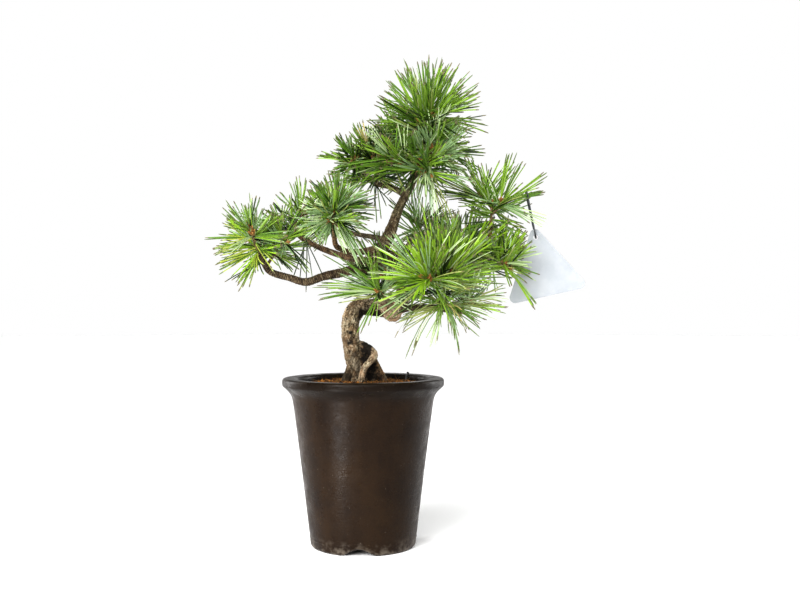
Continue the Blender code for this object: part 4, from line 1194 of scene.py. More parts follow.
class Palette(Enum):
    """How the coats are dealt out over a tuft, by spray."""

    FRESH = Blend((0.74, 0.14, 0.05, 0.05, 0.02), (0.28, 0.38, 0.14, 0.14, 0.06))
    SUNLIT = Blend(
        (0.12, 0.09, 0.01, 0.03, 0.01, 0, 0.02, 0.72),
        (0.2, 0.28, 0.18, 0.07, 0.04, 0, 0.12, 0.11),
    )
    GREEN = Blend((0.42, 0.36, 0.08, 0.08, 0.06), (0.14, 0.32, 0.22, 0.22, 0.1))
    SILVERY = Blend((0.14, 0.14, 0.56, 0.02, 0.14), (0.18, 0.2, 0.4, 0.06, 0.16))
    # For the inner, low and back tufts; partly painted shade through its large share of DEEP.
    SHADED = Blend((0.14, 0.4, 0.16, 0.28, 0.02), (0.06, 0.34, 0.2, 0.37, 0.03))
    YELLOWING = Blend(
        (0.14, 0.26, 0.32, 0.03, 0.06, 0, 0.05, 0.08, 0.06),
        (0.16, 0.14, 0.06, 0.03, 0.05, 0, 0.1, 0.14, 0.32),
    )
    STRAWED = Blend((0.1, 0.28, 0.04, 0.32, 0.02, 0.24), (0.03, 0.24, 0.12, 0.58, 0.01, 0.02))
    WISPY = Blend(
        (0.12, 0.12, 0.12, 0.02, 0.2, 0.02, 0.34, 0.06),
        (0.14, 0.18, 0.14, 0.04, 0.18, 0.01, 0.28, 0.03),
    )
    OLIVE = Blend((0.3, 0.18, 0.08, 0.03, 0.12, 0, 0.11, 0.18), (0.18, 0.22, 0.14, 0.06, 0.16, 0, 0.2, 0.04))


@dataclass(frozen=True)
class Tuft:
    """A mass of needles on one stem, grown by the rule of its solid.

    The needle's length and the bud's are in metres, and wide is the widest angle from a shoot, in
    degrees. droop, raised and curl bend the needles down, up and about, and bears is the stretch of
    a shoot that has them. fill, reach, twig and slim are factors on the count, the length, the twigs
    and the girth. carries is the end of the long needles that the tie hangs over.
    """

    name: str
    foot: Row
    tip: Row
    needle: float
    palette: Palette
    sprays: int = 14
    twigs: int = 2
    droop: float = 0.07
    wide: float = 95.0
    carries: Row = ()
    bud: float = 0.0055
    fill: float = 1.0
    reach: float = 1.0
    raised: float = 0.10
    bears: tuple[float, float] = (0.42, 0.98)
    twig: float = 1.0
    curl: float = 1.0
    slim: float = 1.0


@dataclass(frozen=True)
class Lock:
    """A bundle of long needles that strays from a tuft; its sag and spread are shares of its length."""

    root: Row
    end: Row
    needles: int
    sag: float
    coat: Coat
    spread: float = 0.10


TUFTS = (
    Tuft("apex", metres(55, 2, 362), metres(59.8, 0, 407), 0.058, Palette.FRESH, 22, 3, fill=0.92,
        bears=(0.22, 0.86), twig=0.55),
    Tuft("crown_front_left", metres(48.8, 4, 342.5), metres(36.6, -24, 349), 0.05, Palette.GREEN, bud=0.008,
        reach=0.92),
    Tuft("crown_front_right", metres(51.2, 3, 350), metres(61.5, -26, 350), 0.05, Palette.SILVERY, bud=0.007,
        reach=0.92),
    Tuft("crown_right", metres(53.5, 2, 357), metres(72, 6, 369), 0.046, Palette.GREEN, reach=0.85,
        fill=0.9),
    Tuft("crown_left", metres(54, 2, 359.5), metres(32, 10, 372), 0.048, Palette.GREEN, reach=0.9),
    Tuft("top_left_outer", metres(-7.4, 2, 346), metres(-9.5, 0, 354), 0.04, Palette.GREEN, fill=0.9,
        wide=118.0, raised=-0.08, bears=(0.0, 0.9), twig=0.5, reach=0.76),
    Tuft("top_left_inner", metres(13, 4, 333.7), metres(9.7, 10, 356), 0.044, Palette.STRAWED, fill=1.25),
    Tuft("left_front", metres(-24.4, -41, 293), metres(-24.6, -58, 301), 0.056, Palette.SILVERY, 18,
        reach=0.68, raised=0.0, bears=(0.35, 0.95), twig=0.35, bud=0.008, curl=1.4),
    Tuft("left_back", metres(-63.3, 30, 288), metres(-70, 37, 298.5), 0.05, Palette.GREEN, 16, fill=0.75,
        reach=0.8, raised=-0.02),
    Tuft("left_far", metres(-92.7, -22, 266), metres(-97.5, -25, 279), 0.047, Palette.YELLOWING, 17,
        wide=125.0, bud=0.011, raised=-0.04, bears=(0.0, 0.95), fill=0.95, reach=0.84),
    Tuft("left_far_inner", metres(-87, -21, 256.5), metres(-77, -12, 274), 0.045, Palette.GREEN, fill=0.7,
        reach=0.8),
    Tuft("right_high", metres(118.1, 2, 296), metres(119, 0, 316), 0.05, Palette.FRESH, 16,
        carries=metres(168, 2, 327), fill=0.78, wide=110.0, raised=0.12, bears=(0.05, 0.95)),
    Tuft("right_mid", metres(88, 12, 248.1), metres(96, 18, 277), 0.05, Palette.SUNLIT, reach=0.92,
        fill=1.3),
    Tuft("right_outer", metres(106, 10, 251.7), metres(126, 5, 262), 0.05, Palette.SUNLIT, reach=0.92,
        raised=0.36),
    Tuft("right_back", metres(80, 12, 246.5), metres(84, 44, 262), 0.048, Palette.SHADED, fill=0.8),
    Tuft("centre_back", metres(66, 11, 243.6), metres(64, 28, 262), 0.048, Palette.SHADED, reach=0.85),
    Tuft("right_front", metres(71, -44, 217.7), metres(66, -58, 245.6), 0.056, Palette.SUNLIT, 20, bud=0.01,
        fill=1.1, reach=1.06, raised=0.28, curl=1.4),
    Tuft("right_low", metres(73, -44, 218.5), metres(72.2, -52, 221.5), 0.048, Palette.WISPY, 13, 0,
        droop=0.26, wide=105.0, fill=0.6, reach=0.98, raised=-0.14, bears=(0.2, 0.95), curl=1.9, slim=0.78),
    Tuft("right_low_outer", metres(83.5, -50, 215), metres(95, -46, 224), 0.044, Palette.WISPY, 12, 1,
        droop=0.16, fill=0.4, raised=0.16, reach=0.95, curl=1.8, slim=0.8),
    Tuft("low_front", metres(22, -25, 229), metres(15, -36, 233), 0.054, Palette.OLIVE, 16, 0, bud=0.009,
        fill=0.2, twig=0.6, reach=0.98, wide=92.0, raised=0.14, curl=1.9),
    Tuft("low_centre", metres(39.3, 6, 241), metres(31, -13, 243), 0.044, Palette.SHADED, 10, fill=0.9),
    Tuft("back", metres(48, 57, 291), metres(57, 70, 293), 0.05, Palette.GREEN, reach=0.85, fill=0.8),
    Tuft("back_left", metres(-23, 54, 295.5), metres(-32, 67, 304), 0.05, Palette.GREEN, fill=0.9),
    Tuft("top_back", metres(45.4, 32, 349.5), metres(46, 48, 364), 0.048, Palette.GREEN, fill=0.9),
    Tuft("low_back", metres(14, 39, 231.5), metres(12, 56, 244), 0.048, Palette.SHADED, fill=0.8),
)


def locks_from(root: Row, *ends: tuple) -> tuple[Lock, ...]:
    """Bundles from one root, each as its end's x, y, z, then needles, sag, coat and spread; places in mm."""
    return tuple(Lock(metres(*root), metres(*end[:3]), *end[3:]) for end in ends)


LOCKS = (
    *locks_from((-24.5, -48, 300),
        (3.3, -52, 250, 5, 0.06, Coat.BLUISH, 0.05), (2, -50, 253, 5, 0.06, Coat.PALE, 0.06)),
    *locks_from((-23.5, -47, 299),
        (1, -50, 256, 4, 0.06, Coat.LEAF, 0.09)),
    *locks_from((11, 4, 334),
        (8, -4, 313, 3, 0.05, Coat.DEEP, 0.12), (25, -4, 314, 3, 0.05, Coat.DEEP, 0.1),
        (14, -4, 296, 2, 0.05, Coat.LEAF, 0.05)),
    *locks_from((11, -4, 340),
        (43, -16, 329, 7, 0.04, Coat.LEAF, 0.08), (37, -18, 336, 6, 0.04, Coat.DEEP, 0.12),
        (31, -16, 326, 6, 0.04, Coat.REED, 0.12)),
    *locks_from((10, -4, 338),
        (-34, -12, 335, 7, 0.04, Coat.LEAF, 0.08), (-20, -16, 329, 6, 0.04, Coat.BRIGHT, 0.12),
        (4, -20, 324, 6, 0.04, Coat.DEEP, 0.16)),
    *locks_from((-56, 27, 283),
        (-50, 20, 245, 7, 0.05, Coat.DEEP, 0.3)),
    *locks_from((16, -33, 233),
        (-42, -50, 229, 5, 0.06, Coat.LEAF, 0.05), (-40, -52, 237, 5, 0.06, Coat.BRIGHT, 0.06),
        (-24, -50, 264, 5, 0.05, Coat.LEAF, 0.1)),
    *locks_from((16, -33, 232),
        (-3.9, -46, 190.6, 3, 0.05, Coat.LEAF, 0.06), (10.2, -50, 198.5, 2, 0.05, Coat.BRIGHT, 0.08)),
    *locks_from((72.2, -52, 222.2),
        (40, -62, 174, 3, 0.46, Coat.LEAF, 0.02), (47, -62, 183, 2, 0.44, Coat.REED, 0.02),
        (27, -60, 192, 2, 0.4, Coat.LEAF, 0.02), (34, -60, 201, 3, 0.36, Coat.REED, 0.03),
        (66, -64, 183, 2, 0.3, Coat.LEAF, 0.03), (61, -64, 187, 2, 0.34, Coat.PALE, 0.03)),
    *locks_from((74, -51, 221.2),
        (84.8, -62, 176.5, 2, 0.3, Coat.LEAF, 0.02), (80, -62, 188, 3, 0.3, Coat.REED, 0.04)),
    *locks_from((76, -50, 220),
        (96, -62, 195, 3, 0.3, Coat.REED, 0.04), (107.5, -62, 200, 3, 0.3, Coat.LEAF, 0.04),
        (120, -60, 212, 3, 0.24, Coat.REED, 0.05), (126, -58, 220, 3, 0.16, Coat.PALE, 0.05)),
    *locks_from((60, -30, 348),
        (70, -38, 296, 4, 0.06, Coat.PALE, 0.1), (56, -40, 295, 4, 0.06, Coat.BLUISH, 0.1)),
    *locks_from((56, -28, 348),
        (78, -36, 301, 4, 0.06, Coat.REED, 0.1)),
    *locks_from((66, -52, 250),
        (50, -56, 311, 5, 0.03, Coat.LIME, 0.1), (62, -52, 306, 5, 0.03, Coat.BRIGHT, 0.1)),
    *locks_from((68, -50, 250),
        (76, -54, 312, 5, 0.03, Coat.LEAF, 0.1), (88, -46, 303, 5, 0.03, Coat.LIME, 0.1)),
    *locks_from((-99, -25, 283),
        (-131.6, -30, 310, 2, 0.01, Coat.LEAF, 0.03), (-124.6, -30, 319, 2, 0.01, Coat.BRIGHT, 0.03),
        (-143, -30, 281, 3, 0.01, Coat.LEAF, 0.03)),
    *locks_from((-98, -25, 284),
        (-101, -28, 323, 5, 0.01, Coat.BLUISH, 0.03)),
    *locks_from((-90, -22, 260),
        (-122, -30, 242, 2, 0.08, Coat.DEEP, 0.02)),
    *locks_from((-96, -24, 273),
        (-132, -36, 262, 5, 0.02, Coat.GOLD, 0.1), (-130, -30, 269, 4, 0.02, Coat.BRIGHT, 0.1)),
    *locks_from((-95.5, -24, 270),
        (-127, -34, 252, 6, 0.02, Coat.GOLD, 0.1)),
    *locks_from((-95, -24, 270),
        (-130, -28, 256, 5, 0.02, Coat.LEAF, 0.12)),
    *locks_from((-94.5, -23, 267),
        (-115, -34, 245, 5, 0.03, Coat.LIME, 0.1)),
    *locks_from((-94, -23, 265),
        (-108, -32, 240, 4, 0.03, Coat.BRIGHT, 0.1)),
    *locks_from((-92, -22, 264),
        (-102, -30, 245, 4, 0.03, Coat.LEAF, 0.16)),
    *locks_from((59, 0, 397),
        (61.3, -4, 456, 2, 0.01, Coat.LEAF, 0.02)),
    *locks_from((60, 0, 397),
        (73.7, -4, 454.5, 2, 0.01, Coat.LEAF, 0.02), (87.6, -4, 445.6, 3, 0.01, Coat.BRIGHT, 0.03),
        (102.4, -4, 437, 3, 0.01, Coat.LEAF, 0.03)),
    *locks_from((60, 0, 395),
        (107, -4, 423, 2, 0.01, Coat.LEAF, 0.03)),
    *locks_from((60, 0, 388),
        (115, -4, 399, 2, 0.02, Coat.DEEP, 0.02)),
    *locks_from((59, 0, 397),
        (37.6, -4, 449, 3, 0.01, Coat.BRIGHT, 0.03), (23.7, -4, 446, 2, 0.01, Coat.LEAF, 0.02)),
    *locks_from((59, 0, 395),
        (20, -4, 432, 3, 0.01, Coat.LEAF, 0.03)),
    *locks_from((59, 0, 390),
        (11, -4, 417, 3, 0.01, Coat.LEAF, 0.04)),
)


@dataclass(frozen=True)
class NeedleFinish:
    """A plain coat of needle green with a waxy sheen."""

    name: str
    shown: tuple[int, int, int]

    def material(self) -> Material:
        """One even colour, because the coats are dealt out by spray."""
        mix = Recipe(self.name, 0.38, 0.34)
        mix.colour(tint(*self.shown))
        return mix.material


@dataclass(frozen=True)
class Shoot:
    """One straight shoot of a tuft: where it starts and ends, and its radii."""

    start: Array
    end: Array
    base_radius: float
    tip_radius: float


@dataclass(frozen=True)
class Foliage:
    """Grows shoots, twiglets, needles in fascicles of five, buds and bud scales on every tuft."""

    wood: Wood
    tag: "Tag"
    pot: Pot
    limb_room: float = 0.0004
    pot_room: float = 0.002
    stem_radius: float = 0.0015
    stem_tip_radius: float = 0.0012
    twig_radius: float = 0.0013
    twig_tip_radius: float = 0.0009
    twig_length: float = 0.36
    first_twig_at: float = 0.45
    last_twig_at: float = 0.75
    twig_angle: float = math.radians(48)
    twiglet_length: float = 0.20
    twiglet_fork: float = 0.55
    twiglet_turn: float = 1.9
    twiglet_angle: float = 0.75
    twiglet_taper: float = 0.8
    twiglet_below: float = 0.0008
    twiglet_share: float = 0.45
    fewest: int = 3
    share_for_needle: float = 0.6
    polar_curve: float = 0.8
    narrow: float = math.radians(12)
    fascicles_per_spray: float = 3.4
    foot_room: float = 0.0006
    needles_each: int = 5
    carried_needles: int = 14
    buds_each: int = 6
    scales_each: int = 16
    fan: float = math.radians(8.0)
    needle_girth: float = 0.00068
    lock_girth: float = 0.8
    skirt_length: float = 0.70
    shed_below: float = -0.30
    ash_from: float = 0.935
    olive_from: float = 0.72
    ash_share: float = 0.48
    tip_overlap: float = 0.012
    first_seed: int = 100

    def shoots_of(self, tuft: Tuft, rng: Draws) -> list[Shoot]:
        """The stem and its twigs, as in the solid, then a twiglet from each twig.

        Args:
            tuft: The tuft.
            rng: The tuft's own source, whose first draw turns the twigs.

        Returns:
            The shoots, the stem first.
        """
        foot, tip = np.array(tuft.foot), np.array(tuft.tip)
        along = unit(tip - foot)
        found = [Shoot(foot, tip, self.stem_radius, self.stem_tip_radius)]
        phase = rng.uniform(0, TURN)
        for number in range(tuft.twigs):
            share = self.first_twig_at
            share += (self.last_twig_at - self.first_twig_at) * number / max(1, tuft.twigs - 1)
            start = foot + (tip - foot) * share
            azimuth = np.array(phase + number * TURN / tuft.twigs)
            heading = turned_from(along, azimuth, np.array(self.twig_angle))
            end = start + heading * tuft.needle * self.twig_length * tuft.twig
            found.append(Shoot(start, end, self.twig_radius, self.twig_tip_radius))
            fork = start + (end - start) * self.twiglet_fork
            opened = np.array(self.twiglet_angle * self.twig_angle)
            turned = turned_from(heading, azimuth + self.twiglet_turn, opened)
            small = fork + turned * tuft.needle * self.twiglet_length * tuft.twig
            found.append(Shoot(fork, small, self.twig_tip_radius, self.twiglet_taper * self.twig_tip_radius))
        return found

    def fascicles(self, tuft: Tuft, shoots: list[Shoot], rng: Draws) -> tuple[Array, Array, Array, Array]:
        """Fascicles up each shoot by the golden angle, from wide at its foot to narrow at its tip.

        The polar angle at a share s of the bearing stretch is wide (1 - s) ** polar_curve + narrow.

        Args:
            tuft: The tuft.
            shoots: Its shoots.
            rng: The tuft's source.

        Returns:
            Root, heading, length and share of each fascicle.
        """
        lengths = []
        for shoot in shoots:
            length = np.linalg.norm(shoot.end - shoot.start) + self.share_for_needle * tuft.needle
            lengths.append(length * (self.twiglet_share if shoot.tip_radius < self.twiglet_below else 1.0))
        roots, headings, sizes, shares = [], [], [], []
        for shoot, length in zip(shoots, lengths):
            count = self.fascicles_per_spray * tuft.fill * tuft.sprays * length / sum(lengths)
            count = max(self.fewest, round(count))
            order = (np.arange(count) + rng.uniform(0.1, 0.9, count)) / count
            along = np.broadcast_to(unit(shoot.end - shoot.start), (count, 3))
            azimuth = rng.uniform(0, TURN) + np.arange(count) * GOLDEN_ANGLE + rng.normal(0, 0.15, count)
            polar = math.radians(tuft.wide) * (1 - order) ** self.polar_curve + self.narrow
            polar = polar + rng.normal(0, 0.09, count)
            heading = unit(turned_from(along, azimuth, polar) + np.array((0, 0, tuft.raised)))
            place = tuft.bears[0] + (tuft.bears[1] - tuft.bears[0]) * order
            roots.append(shoot.start + (shoot.end - shoot.start) * place[:, None] + heading * self.foot_room)
            headings.append(heading)
            grown = self.skirt_length + (1 - self.skirt_length) * order**0.7
            sizes.append(tuft.needle * tuft.reach * grown * rng.uniform(0.86, 1.04, count))
            shares.append(order)
        roots, headings, sizes, shares = (np.concatenate(part) for part in (roots, headings, sizes, shares))
        keep = rng.uniform(0, 1, len(roots)) < 1 + 1.5 * (headings[:, 2] - self.shed_below)
        return roots[keep], headings[keep], sizes[keep], shares[keep]

    def needles_of(self, tuft: Tuft, shoots: list[Shoot], rng: Draws) -> tuple[Strands, Array]:
        """Five needles from each fascicle, fanned round its heading, and the coat of each needle.

        Args:
            tuft: The tuft.
            shoots: Its shoots.
            rng: The tuft's source.

        Returns:
            The needles as strands, and the number of each one's coat.
        """
        roots, headings, sizes, shares = self.fascicles(tuft, shoots, rng)
        each = self.needles_each
        count = len(roots) * each
        spin = np.tile(TURN * np.arange(each) / each, len(roots))
        spin = spin + np.repeat(rng.uniform(0, TURN, len(roots)), each)
        fan = np.abs(rng.normal(self.fan, 0.4 * self.fan, count)) * (1.35 - 0.7 * np.repeat(shares, each))
        ways = turned_from(np.repeat(headings, each, axis=0), spin, fan)
        length = np.repeat(sizes, each) * rng.uniform(0.88, 1.0, count)
        curl = tuft.curl * (0.035 + 0.075 * (1 - np.repeat(shares, each)[:, None]))
        bends = np.repeat(rng.normal(0, 1, (len(roots), 3)), each, axis=0) + rng.normal(0, 0.6, (count, 3))
        bends = bends * curl - np.array((0, 0, tuft.droop)) * rng.uniform(0.3, 1.3, (count, 1))
        strands = Strands(
            np.repeat(roots, each, axis=0),
            ways * length[:, None],
            bends * length[:, None],
            tuft.slim * self.needle_girth * rng.uniform(0.85, 1.1, count),
            rng.uniform(0, TURN, count),
        )
        blend = tuft.palette.value
        head, skirt = (np.array(part + (0,) * (len(Coat) - len(part))) for part in (blend.head, blend.skirt))
        weights = head * shares[:, None] + skirt * (1 - shares[:, None])
        weights = np.cumsum(weights / weights.sum(1, keepdims=True), axis=1)
        coats = np.repeat((rng.uniform(0, 1, (len(roots), 1)) > weights).sum(1), each)
        stray = rng.uniform(0, 1, count) < 0.32 - 0.26 * np.repeat(shares, each)
        coats = np.where(stray, rng.choice([1, 2, 3, 3, 4, 6], count), coats)
        return strands, coats

    def carried(self, tuft: Tuft, rng: Draws) -> tuple[Strands, Array]:
        """The long needles that the tie hangs over, close together from the tip to their end."""
        count = self.carried_needles
        reach = np.array(tuft.carries) - np.array(tuft.tip)
        along = np.broadcast_to(unit(reach), (count, 3))
        ways = turned_from(along, rng.uniform(0, TURN, count), rng.uniform(0.0, 0.085, count))
        length = np.linalg.norm(reach) * rng.uniform(0.9, 1.0, count)
        strands = Strands(
            np.array(tuft.tip) + rng.normal(0, 0.0004, (count, 3)),
            ways * length[:, None],
            np.zeros((count, 3)),
            np.full(count, self.needle_girth),
            rng.uniform(0, TURN, count),
        )
        return strands, rng.choice([0, 1, 1, 7], count)

    def lock(self, lock: Lock, rng: Draws) -> tuple[Strands, Array]:
        """A bundle from its root to its end, with the middle sagging or arching by its sag."""
        root, end = np.array(lock.root), np.array(lock.end)
        length = np.linalg.norm(end - root)
        offsets = rng.normal(0, lock.spread * length, (lock.needles, 3))
        bend = np.array((0, 0, -2.2 * lock.sag * length)) * rng.uniform(0.6, 1.3, (lock.needles, 1))
        share = rng.uniform(0.8, 1.0, (lock.needles, 1))
        strands = Strands(
            root + rng.normal(0, 0.001, (lock.needles, 3)),
            (end - root) * share + offsets - bend,
            bend,
            np.full(lock.needles, self.lock_girth * self.needle_girth),
            rng.uniform(0, TURN, lock.needles),
        )
        return strands, np.full(lock.needles, list(Coat).index(lock.coat))

    def clear(self, strands: Strands) -> Array:
        """Which needles keep out of the limbs, the pot and the tag.

        A needle is dropped where a point past its first fifth lies inside a limb's radius, under
        the lip within the pot, or where it passes through the tag's triangle.
        """
        shares = np.array((0.2, 0.36, 0.52, 0.68, 0.84, 1.0))
        places = strands.centres(shares).reshape(-1, 3)
        limbs = self.wood.limb_points()
        inside = (squares_between(places, limbs[:, :3]) < (limbs[:, 3] + self.limb_room) ** 2).any(1)
        over = np.hypot(places[:, 0], places[:, 1]) < self.pot.lip_radius + self.pot_room
        potted = over & (places[:, 2] < self.pot.lip_top_z + self.pot_room)
        bad = (inside | potted).reshape(-1, len(shares)).any(1)
        first, last = strands.roots, strands.centres(np.array((1.0,)))[:, 0]
        depth = self.tag.centre[1]
        spans = (first[:, 1] - depth) * (last[:, 1] - depth) < 0
        share = (depth - first[:, 1]) / np.where(spans, last[:, 1] - first[:, 1], 1.0)
        offset = first + (last - first) * share[:, None] - np.array(self.tag.centre)
        held = np.ones(len(first), bool)
        for number in range(3):
            angle = math.pi / 2 + self.tag.turn + math.pi / 3 + number * TURN / 3
            held &= offset[:, 0] * math.cos(angle) + offset[:, 2] * math.sin(angle) < self.tag.inradius
        return ~(bad | (spans & held))

    def shoot_strands(self, shoots: list[Shoot], rng: Draws) -> Strands:
        """The shoots as strands that bow a little."""
        starts = np.array([shoot.start for shoot in shoots])
        reaches = np.array([shoot.end for shoot in shoots]) - starts
        bends = rng.normal(0, 0.05, reaches.shape) * np.linalg.norm(reaches, axis=1, keepdims=True)
        girths = np.array([shoot.base_radius for shoot in shoots])
        return Strands(starts, reaches - bends, bends, girths, np.zeros(len(shoots)))

    def bud_strands(self, tuft: Tuft, shoots: list[Shoot], rng: Draws) -> Strands:
        """A ring of pointed buds at the end of each shoot, the middle one longest."""
        ends = np.array([shoot.end for shoot in shoots])
        ways = unit(ends - np.array([shoot.start for shoot in shoots]))
        count, each = len(shoots), self.buds_each
        along = np.repeat(ways, each, axis=0)
        rank = np.tile(np.arange(each), count)
        polar = np.where(rank == 0, 0.0, 0.42)
        azimuth = rank * TURN / (each - 1) + np.repeat(rng.uniform(0, 6, count), each)
        heading = turned_from(along, azimuth, polar)
        length = tuft.bud * np.where(rank == 0, 1.0, 0.8) * rng.uniform(0.75, 1.2, count * each)
        return Strands(
            np.repeat(ends, each, axis=0) - along * 0.001,
            heading * length[:, None],
            np.zeros((count * each, 3)),
            0.13 * length + 0.0004,
            rng.uniform(0, TURN, count * each),
        )

    def scale_strands(self, shoots: list[Shoot], rng: Draws) -> Strands:
        """Dry bud scales and needle sheaths along the upper half of each shoot."""
        each = self.scales_each
        starts = np.repeat(np.array([shoot.start for shoot in shoots]), each, axis=0)
        ends = np.repeat(np.array([shoot.end for shoot in shoots]), each, axis=0)
        count = len(starts)
        along = unit(ends - starts)
        place = rng.uniform(0.35, 1.0, (count, 1))
        heading = turned_from(along, rng.uniform(0, TURN, count), rng.uniform(0.4, 1.3, count))
        length = rng.uniform(0.0022, 0.0055, count)
        return Strands(
            starts + (ends - starts) * place,
            heading * length[:, None],
            rng.normal(0, 0.25, (count, 3)) * length[:, None],
            np.full(count, 0.0005),
            rng.uniform(0, TURN, count),
        )

    def cleared(self, strands: Strands, coats: Array) -> tuple[Strands, Array]:
        """The needles that keep clear, and their coats."""
        kept = self.clear(strands)
        return strands.chosen(kept), coats[kept]

    def grow(self) -> tuple[Strands, Array, Strands, Strands, Strands]:
        """Grows every tuft and lock.

        Returns:
            The needles, the coat of each, the shoots, the buds and the scales.
        """
        needles, shoots, buds, scales = [], [], [], []
        for number, tuft in enumerate(TUFTS):
            rng = np.random.default_rng(self.first_seed + number)
            grown = self.shoots_of(tuft, rng)
            needles.append(self.cleared(*self.needles_of(tuft, grown, rng)))
            LOG.info("tuft %s: %d needles", tuft.name, len(needles[-1][1]))
            if tuft.carries:
                needles.append(self.carried(tuft, rng))
            shoots.append(self.shoot_strands(grown, rng))
            buds.append(self.bud_strands(tuft, grown, rng))
            scales.append(self.scale_strands(grown, rng))
        rng = np.random.default_rng(self.first_seed - 1)
        needles += [self.cleared(*self.lock(lock, rng)) for lock in LOCKS]
        strands, coats = zip(*needles)
        return all_strands(strands), np.concatenate(coats), *map(all_strands, (shoots, buds, scales))

    def lay_needles(
        self, name: str, strands: Strands, shares: Row, profile: Row, shown: Row, nodes: tuple[str, ...] = ()
    ) -> None:
        """Lays needles as one flat-shaded piece in one plain coat.

        Args:
            name: The piece's name.
            strands: The needles, or their tips.
            shares: Share of the length where each ring lies, and last the point's.
            profile: Share of the girth at each ring.
            shown: The coat's display colour.
            nodes: The nodes that the piece stands for.
        """
        piece = strands.mesh(name, shares, profile, 3)
        piece.data.shade_flat()
        dress(piece, NeedleFinish(name, shown).material(), nodes)

    def build(self) -> None:
        """Dresses the needles coat by coat, then their tips, the twigs, the buds and the scales."""
        needles, coats, shoots, buds, scales = self.grow()
        nodes = tuple("needles_" + tuft.name for tuft in TUFTS)
        rng = np.random.default_rng(self.first_seed - 2)
        none, whole = np.zeros(len(coats)), np.ones(len(coats))
        ashen = rng.uniform(0, 1, len(coats)) < self.ash_share
        turning = np.where(ashen, self.ash_from, rng.uniform(self.olive_from, self.ash_from, len(coats)))
        turning = np.where(coats == list(Coat).index(Coat.PALE), 1.0, turning)
        bodies, ends = needles.part(none, turning), needles.part(turning - self.tip_overlap, whole)
        for number, coat in enumerate(Coat):
            profile = (0.75, 1, 1, 0.96, 0.6) if coat is Coat.PALE else (0.75, 1, 1, 1, 0.97)
            chosen = bodies.chosen(coats == number)
            name = "needles_" + coat.name.lower()
            self.lay_needles(name, chosen, (0, 0.27, 0.53, 0.77, 0.985, 1), profile, coat.value, nodes)
        for tip, mask in zip(Tip, (ashen & (turning < 1), ~ashen & (turning < 1))):
            name = "needle_tips_" + tip.name.lower()
            self.lay_needles(name, ends.chosen(mask), (0, 0.45, 0.8, 1), (1.0, 0.9, 0.66), tip.value)
        cloud, relief = (300, 4, 0.36, 0.64), (900, 4, 0.0003, 0.6)
        skin = Mottled("twig_skin", tint(78, 66, 46), tint(132, 112, 76), 0.75, 0.35, cloud, relief)
        piece = shoots.mesh("twigs", (0, 0.2, 0.4, 0.6, 0.8, 0.97, 1), (1, 0.97, 0.93, 0.88, 0.82, 0.76), 8)
        dress(piece, skin.material(), nodes)
        skin = Mottled("bud_skin", tint(118, 82, 44), tint(174, 128, 72), 0.6, 0.35, cloud, relief)
        piece = buds.mesh("buds", (0, 0.15, 0.35, 0.6, 0.82, 1), (0.6, 0.95, 1, 0.75, 0.4), 7)
        dress(piece, skin.material())
        skin = Mottled("scale_skin", tint(146, 112, 72), tint(206, 180, 132), 0.8, 0.35, cloud, relief)
        piece = scales.mesh("bud_scales", (0, 0.4, 1), (0.7, 1), 3)
        piece.data.shade_flat()
        dress(piece, skin.material())


